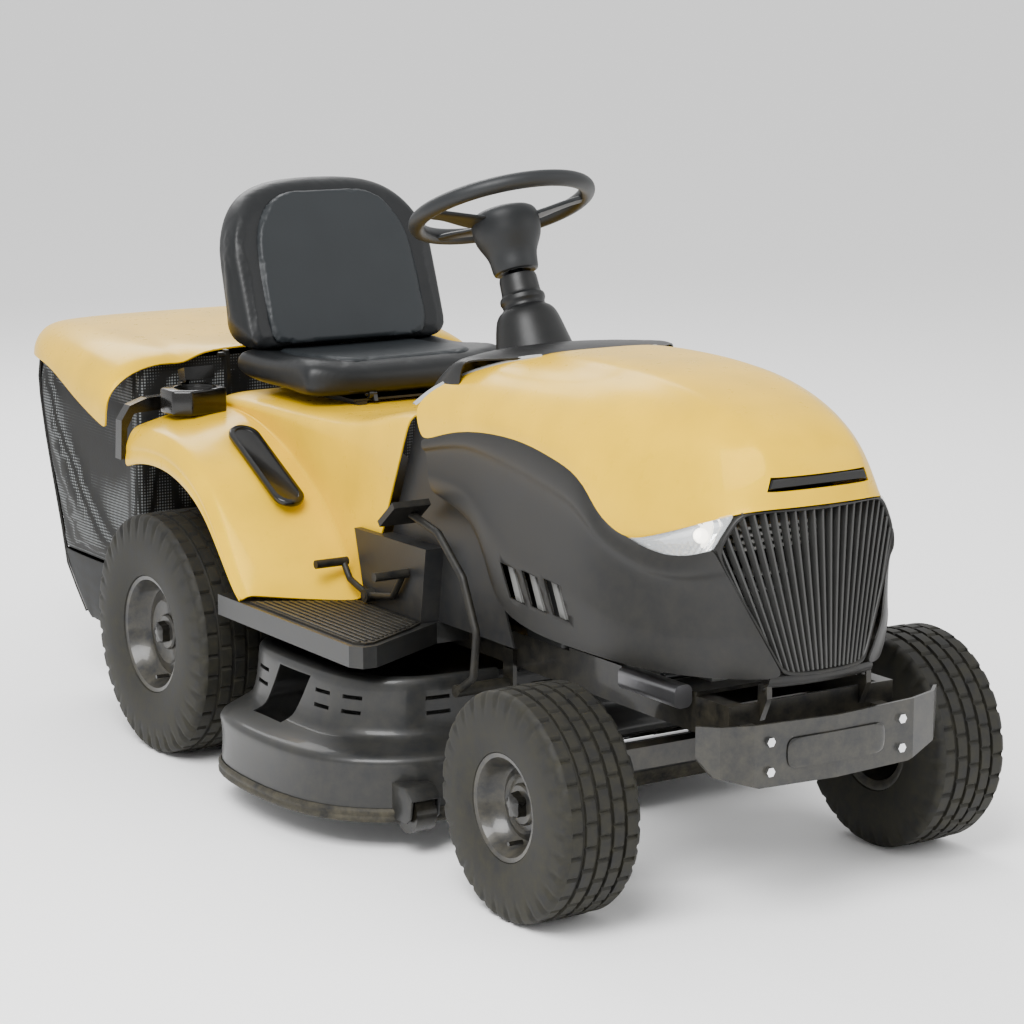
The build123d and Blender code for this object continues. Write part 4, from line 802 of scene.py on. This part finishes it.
# ---- Mower deck ----
# A pressed steel housing enamelled dark grey: a wide rolled rim, a shelf, and a tall cover wall over the
# belt with rows of air slots and a slanted opening each side. A double rubber strip hangs from the rim.

deck_grey = finish("deck_enamel", "#1B1C1D", 0.38, coat=0.15, grain=0.05, grain_mm=2.0, dust=0.03)
rim_line = [(0, -505), (150, -504), (300, -500), (370, -485), (430, -450), (480, -400), (508, -345),
            (524, -270),
            (529, -180), (525, -90), (512, -25), (485, 22), (440, 52), (380, 60), (200, 60), (0, 60)]
foot_line = [(0, -440), (150, -438), (300, -432), (345, -422), (385, -400), (418, -368), (440, -330),
             (452, -280),
             (458, -200), (458, -110), (452, -50), (432, 0), (400, 28), (350, 36), (200, 38), (0, 38)]


def level_row(line, share, z, other=None, blend=0.0):
    row = []
    for k, (x, y) in enumerate(line):
        x, y = x * share, -201 + (y + 201) * share
        if other:
            x, y = x + (other[k][0] - x) * blend, y + (other[k][1] - y) * blend
        row.append((x, y, z))
    return row


deck_rows = [level_row(rim_line, 1.0, 68), level_row(rim_line, 1.0, 84), level_row(rim_line, 0.995, 118),
             level_row(rim_line, 1.0, 146), level_row(rim_line, 1.004, 155), level_row(rim_line, 0.998, 164),
             level_row(rim_line, 0.975, 170), level_row(foot_line, 1.0, 180, rim_line, 0.4),
             level_row(foot_line, 1.01, 189), level_row(foot_line, 0.998, 200),
             level_row(foot_line, 0.985, 232),
             level_row(foot_line, 0.98, 268), level_row(foot_line, 0.975, 284),
             level_row(foot_line, 0.95, 289),
             level_row(foot_line, 0.9, 288), level_row(foot_line, 0.72, 262), level_row(foot_line, 0.6, 250),
             level_row(foot_line, 0.25, 248), level_row(foot_line, 0.02, 248)]
deck = skin("deck_housing", deck_rows, wall=3.0, level=1, both=True)
slots = []
for sign in (1, -1):
    for z in (222, 248):
        for y, wide in ((2, 28), (-50, 46), (-262, 40), (-330, 34)):
            slots.append(prism("slot", [(y - wide, z), (y, z), (y, z + 7), (y - wide, z + 7)], sign * 380,
                               sign * 480, "X"))
        for x in (60, 130, 200, 270):
            slots.append(prism("slot", [(sign * x, z), (sign * (x + 46), z), (sign * (x + 46), z + 7),
                                        (sign * x, z + 7)],
                               -460, -400, "Y"))
    slots.append(prism("notch", [(sign * 128, 276), (sign * 172, 276), (sign * 172, 300), (sign * 128, 300)],
                       -470, 70, "Y"))
    slots.append(prism("opening", [(-93, 178), (-195, 178), (-245, 272), (-139, 272)], sign * 410,
                       sign * 480, "X"))
cut(deck, [join("slots", slots)])
smooth(deck, 40)
dress(deck, deck_grey)
for node in ("deck_shell", "deck_cover"):
    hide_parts(node)
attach(deck, "deck")

rubber = finish("deck_rubber", "#0B0B0B", 0.6, grain=0.1, dust=0.12)
strip_rows = [[(x * g, -205 + (y + 205) * g, z) for x, y in rim_line]
              for g, z in ((1.003, 54), (1.012, 56), (1.014, 62), (1.006, 66), (1.014, 70), (1.012, 76),
                           (1.003, 79))]
strip = skin("deck_lip", strip_rows, wall=2.0, level=1, both=True)
mount(strip, rubber, "black_rubber", "deck", "deck_strip")

brackets = []
for sign in (1, -1):
    for start in (348, 402):
        brackets.append(prism("cheek", [(-440, 62), (-440, 126), (-500, 124), (-524, 104), (-520, 74),
                                        (-505, 62)],
                              sign * start, sign * (start + 5), "X"))
    brackets.append(prism("roof", [(-440, 120), (-440, 127), (-500, 125), (-524, 105), (-519, 101),
                                   (-497, 119)],
                          sign * 349, sign * 406, "X"))
    for y in (-400, -30):
        brackets.append(prism("hanger", [(y - 16, 248), (y + 16, 248), (y + 10, 374), (y - 10, 374)],
                              sign * 124, sign * 130, "X"))
hangers = join("deck_brackets", brackets)
apply(hangers, "BEVEL", width=0.002, segments=2, limit_method="ANGLE")
smooth(hangers)
mount(hangers, deck_grey, "deck_grey", "deck")


# ---- Wheels ----
# Low-pressure turf tyres with ribs, sipes and shoulder blocks on stepped steel rims, each with a pressed hub
# cap, a lobed plastic nut and a rubber valve. The tread carries dry soil; the flank is scuffed and grey.

def turned(name, centre, profile, steps, shape=None):
    """A ring round an axle along X: profile is (offset outward, radius) in mm; shape can move a point."""
    bpy.ops.object.select_all(action="DESELECT")
    bpy.ops.mesh.primitive_grid_add(x_subdivisions=len(profile) - 1, y_subdivisions=steps, size=1)
    piece = bpy.context.object
    piece.name = piece.data.name = name
    out = 1 if centre[0] > 0 else -1
    wide = len(profile)
    for index, vertex in enumerate(piece.data.vertices):
        row, column = divmod(index, wide)
        row %= steps
        offset, radius = profile[column]
        if shape:
            offset, radius = shape(column % (wide - 1), row, offset, radius)
        angle = 2 * math.pi * row / steps
        vertex.co = Vector((centre[0] + out * offset, centre[1] + radius * math.cos(angle),
                            centre[2] + radius * math.sin(angle))) * MM
    outward(piece)
    smooth(piece, 38)
    return piece


tyre_rubber = finish("tyre_rubber", "#111110", 0.62, grain=0.12, grain_mm=1.6, dust=0.07, wear=0.12,
                     dust_colour="#6A6440")
rim_grey = finish("rim_enamel", "#1A1B1D", 0.32, coat=0.2, grain=0.04, dust=0.10)
hub_black = finish("hub_plastic", "#080808", 0.26, coat=0.2, grain=0.01, dust=0.03)


def tyre_profile(half, outer, bead, ribs):
    """The outside from one bead to the other with the rib grooves, then back along the inside."""
    flank = [(0.86, bead + 1), (0.93, bead + 4), (0.97, bead + (outer - bead) * 0.18),
             (1.0, bead + (outer - bead) * 0.4), (1.0, bead + (outer - bead) * 0.56),
             (0.985, bead + (outer - bead) * 0.7), (0.965, outer - 16), (0.95, outer - 11),
             (0.91, outer - 5)]
    right = [(half * share, radius) for share, radius in flank]
    tread = []
    for k in range(ribs):
        low, high = 0.86 - 1.72 * k / ribs, 0.86 - 1.72 * (k + 1) / ribs
        crown_r = outer - 3.4 * abs(low + high) ** 2 / 4
        gap = 0.10 / ribs * 2
        tread += [(half * (low - gap), crown_r - 5 if k else crown_r), (half * (low - gap * 1.2), crown_r),
                  (half * (low + high) / 2, crown_r), (half * (high + gap * 1.2), crown_r),
                  (half * (high + gap), crown_r - 5 if k < ribs - 1 else crown_r)]
    outside = right + tread + [(-x, r) for x, r in reversed(right)]
    inside = [(-0.80 * half, bead + 1), (-0.88 * half, bead + (outer - bead) * 0.4),
              (-0.8 * half, outer - 16),
              (0.8 * half, outer - 16), (0.88 * half, bead + (outer - bead) * 0.4), (0.80 * half, bead + 1)]
    return outside + inside + outside[:1], len(right), len(right) + len(tread)


def wheel(word, centre, outer, width, bead, ribs, steps, body, rim_name, tyre_name):
    half = width / 2
    profile, first, last = tyre_profile(half, outer, bead, ribs)

    def sipes(column, row, offset, radius):
        rib = (column - first) // 5
        if first <= column < last and (row + rib * 3) % 8 == 0 and (column - first) % 5 in (1, 2, 3):
            return offset, radius - 4
        if (first - 3 <= column < first or last <= column < last + 3) and row % 8 < 2:
            return offset * 0.965, radius - 1.5
        return offset, radius

    tyre = turned(word + "_tyre", centre, profile, steps, sipes)
    mount(tyre, tyre_rubber, "tyre_rubber", body, tyre_name)

    face = half * 0.86 + 3
    dish = [(face, bead - 1), (face + 1, bead + 2), (face - 1, bead + 4), (face - 4, bead + 3),
            (face - 5, bead - 3),
            (face - 20, bead - 9), (face - 34, bead - 12), (0, bead - 14), (4 - face, bead - 9),
            (1 - face, bead + 3),
            (-face, bead - 1), (5 - face, bead - 14), (0, bead - 18), (face - 42, bead - 17),
            (face - 46, bead - 30),
            (face - 48, 24), (face - 40, 22), (face - 36, 30), (face - 38, bead * 0.5),
            (face - 34, bead * 0.56),
            (face - 40, bead - 26), (face - 36, bead - 20), (face - 14, bead - 12), (face - 1, bead - 5),
            (face, bead - 1)]
    rim = turned(word + "_rim", centre, dish, 96)
    mount(rim, rim_grey, "wheel_paint", body, rim_name)

    def lobes(column, row, offset, radius):
        return offset, radius * (1 + 0.09 * math.cos(row * 2 * math.pi / 60 * 5)) if radius > 8 else radius

    cap = turned(word + "_hub_cap", centre, [(face - 44, 0.01), (face - 44, 33), (face - 34, 34),
                                             (face - 31, 31),
                                             (face - 30, 20), (face - 31, 0.01), (face - 44, 0.01)], 72)
    dress(cap, rim_grey)
    nut = turned(word + "_hub_nut", centre, [(face - 33, 0.01), (face - 33, 21), (face - 16, 19),
                                             (face - 13, 15),
                                             (face - 12, 0.01), (face - 33, 0.01)], 60, lobes)
    dress(nut, hub_black)
    out = 1 if centre[0] > 0 else -1
    bpy.ops.mesh.primitive_cylinder_add(vertices=16, radius=0.0035, depth=0.026,
                                        rotation=(0, math.pi / 2, 0),
                                        location=((centre[0] + out * (face - 22)) * MM, centre[1] * MM,
                                                  (centre[2] - bead + 24) * MM))
    valve = bpy.context.object
    valve.name = valve.data.name = word + "_valve"
    bpy.ops.object.transform_apply(location=True, rotation=True, scale=True)
    smooth(valve)
    dress(valve, hub_black)
    for part, slot in ((cap, "wheel_paint"), (nut, "black_plastic"), (valve, "black_plastic")):
        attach(part, body)


FRONT_X, FRONT_Y, FRONT_R = 374.7, -867.5, 188
REAR_X, REAR_Y, REAR_R = 380, 350, 232.6
for sign, word in ((1, "left"), (-1, "right")):
    wheel("front_" + word, (sign * FRONT_X, FRONT_Y, FRONT_R), FRONT_R, 149, 85.3, 5, 240,
          "front_wheel_" + word, "front_rim_" + word, "front_tyre_" + word)
    wheel("rear_" + word, (sign * REAR_X, REAR_Y, REAR_R), REAR_R, 193, 110, 6, 288, "rear_wheel_" + word,
          "rear_rim_" + word, "rear_tyre_" + word)


# ---- Fender insets and cup tray ----
# A dished black pad screwed into each fender, and on the near side a gloss black tray with a cup hole,
# standing on the fender behind the seat.

def eased(name, points, start, end, axis, width, segments=3):
    """A prism with all its edges rounded."""
    piece = prism(name, points, start, end, axis)
    apply(piece, "BEVEL", width=width * MM, segments=segments, limit_method="ANGLE")
    smooth(piece)
    return piece


stadium = [(31 * math.cos(a), 94 + 31 * math.sin(a)) for a in [math.pi * k / 12 for k in range(13)]]
stadium += [(-x, -y) for x, y in stadium]
slope = Matrix.Rotation(math.radians(27.6), 4, "X")
for sign, word in ((1, "left"), (-1, "right")):
    pad = eased("fender_pad_" + word, stadium, -7, 5, "Z", 3.5)
    cut(pad, [eased("dish", [(x * 0.74, y * 0.92) for x, y in stadium], 1.5, 12, "Z", 1.2)])
    smooth(pad, 30)
    pad.data.transform(Matrix.Translation((sign * 0.317, 0.150, 0.577)) @ slope)
    mount(pad, gloss_black, "black_plastic", "chassis")

tray = eased("cup_tray", [(-384, 402), (-384, 458), (-354, 477), (-270, 477), (-264, 440), (-270, 396),
                          (-352, 382)],
             641, 690, "Z", 5)
bpy.ops.mesh.primitive_cylinder_add(vertices=64, radius=0.036, depth=0.09, location=(-0.322, 0.430, 0.700))
bore = bpy.context.object
bpy.ops.mesh.primitive_cylinder_add(vertices=64, radius=0.0405, depth=0.008, location=(-0.322, 0.430, 0.690))
cut(tray, [join("cup_hole", [bpy.context.object]), bore])
apply(tray, "BEVEL", width=0.0012, segments=2, limit_method="ANGLE", angle_limit=math.radians(60))
smooth(tray, 30)
mount(tray, gloss_black, "black_plastic", "chassis", "fender_mouldings")


# ---- Foot mats and bumper ----
# Moulded rubber mats with fine ribs along the machine lie on the footplates. The bumper is a curved steel
# plate with a pressed panel in its middle, held by four bright bolts.

mat_rubber = finish("mat_rubber", "#12110F", 0.5, grain=0.12, grain_mm=1.2, dust=0.05)
for sign, word in ((1, "left"), (-1, "right")):
    bars = []
    for k in range(13):
        x = 274 + 13 * k
        front_y = -400 if x > 404 else (-346 - (x - 300) * 0.546 if x > 300 else -322 - (x - 266) * 0.7)
        rear_y = -66 + (x - 342) * 0.583 if x > 342 else -104 + (x - 266) * 0.5
        bars.append(eased("rib", [(sign * (x - 3.5), 358), (sign * (x + 3.5), 358),
                                  (sign * (x + 3.5), 362.5),
                                  (sign * (x - 3.5), 362.5)], front_y + 6, rear_y - 6, "Y", 1.4, 2))
    bars = join("mat_ribs_" + word, bars)
    smooth(bars)
    mount(bars, mat_rubber, "mat_rubber", "chassis")

bumper_front = min(v.co.y for v in nodes["front_bumper"].data.vertices) / MM
raised = []
for z, w in ((266, 84), (268, 92), (276, 98), (304, 98), (312, 92), (314, 84)):
    raised.append([(x * w, bumper_front + 5 * (x * w / 160) ** 2 - (1 if abs(x) > 0.97 else 4), z)
                   for x in (-1, -0.95, -0.5, 0, 0.5, 0.95, 1)])
raised = skin("bumper_pressing", raised, wall=3, level=2)
bumper_grey = finish("bumper_enamel", "#131415", 0.30, coat=0.3, grain=0.04, dust=0.08)
mount(raised, bumper_grey, "deck_grey", "chassis")


# ---- Frame, engine and controls ----
# Parts that keep their own shape get softened edges and their real finish: black enamelled steel for the
# frame, cast aluminium for the engine and gearbox, moulded plastic for the console, levers and trim.

def keep(names, material, width=1.2):
    for name in names:
        piece = nodes[name]
        bevel = piece.modifiers.new("Edges", "BEVEL")
        bevel.width = width * MM
        bevel.segments = 2
        bevel.limit_method = "ANGLE"
        bevel.angle_limit = math.radians(35)
        smooth(piece, 35)
        dress(piece, material)


frame_black = finish("frame_enamel", "#0B0B0C", 0.36, coat=0.3, grain=0.04, dust=0.08)
console_grey = finish("console_plastic", "#1C1D1F", 0.42, grain=0.06, grain_mm=0.9, dust=0.04)
steel = finish("bright_steel", "#B9BBBD", 0.28, metallic=1.0, grain=0.02, dust=0.03)
silver = finish("aluminised_steel", "#77777A", 0.30, metallic=0.9, grain=0.05, dust=0.05)
pedal_rubber = finish("pedal_rubber", "#090909", 0.5, grain=0.08, dust=0.06)
keep(["frame_rails", "rear_plate", "seat_bracket", "seat_slider", "seat_pan", "front_axle_beam",
      "spindle_left",
      "spindle_right"], frame_black)
keep(["bumper_bolts", "tie_rod", "steering_shaft"], chrome, 0.8)
keep(["blade_left", "blade_right"], steel, 0.6)
keep(["muffler"], silver, 2.0)
keep(["engine_block", "transaxle"], cast, 2.0)
keep(["engine_shroud", "battery", "discharge_chute", "fuel_tank"], dash_black, 2.0)
keep(["dash_console", "pedal_pedestals"], console_grey, 2.5)
keep(["footplates"], deck_grey, 6.0)
keep(["front_bumper"], bumper_grey, 2.0)
keep(["foot_mats"], mat_rubber, 1.0)
keep(["brake_pedal", "drive_pedal"], pedal_rubber, 1.5)
keep(["latch_lever", "throttle_lever", "ignition_key", "pto_knob", "rear_trim"], gloss_black, 2.0)
keep(["drive_belt"], rubber, 0.6)
keep(["deck_roller_left", "deck_roller_right"], hub_black, 1.5)


# ---- Studio ----
# A pale seamless floor, a big soft box high on the left in front, a weaker one on the right and an even
# pale room, so the paint shows broad soft highlights and the shadow stays light.

bpy.ops.mesh.primitive_plane_add(size=900)
floor = bpy.context.object
floor.name = "floor"
paper = bpy.data.materials.new("studio_paper")
paper.use_nodes = True
paper.node_tree.nodes["Principled BSDF"].inputs["Base Color"].default_value = linear("#FFFFFF")
paper.node_tree.nodes["Principled BSDF"].inputs["Roughness"].default_value = 0.85
dress(floor, paper)

for name, place, size, power in (("key", (-3.2, -2.6, 4.6), 3.0, 520), ("fill", (3.6, -3.4, 2.6), 3.0, 50),
                                 ("back", (0.8, 4.2, 4.2), 3.0, 200)):
    bpy.ops.object.light_add(type="AREA", location=place)
    lamp = bpy.context.object
    lamp.name = name + "_light"
    lamp.data.size = size
    lamp.data.energy = power
    lamp.rotation_euler = (Vector((0, 0, 0.5)) - Vector(place)).to_track_quat("-Z", "Y").to_euler()
world = bpy.data.worlds.new("studio_room")
bpy.context.scene.world = world
world.use_nodes = True
world.node_tree.nodes["Background"].inputs[0].default_value = linear("#FFFFFF")
world.node_tree.nodes["Background"].inputs[1].default_value = 1.15

bpy.ops.object.camera_add(location=(-2.79524, -4.54782, 1.49406),
                          rotation=(math.pi / 2 - 0.188, 0.0, -0.572))
camera = bpy.context.object
camera.data.lens = 101.1
camera.data.sensor_width = 36.0
bpy.context.scene.camera = camera
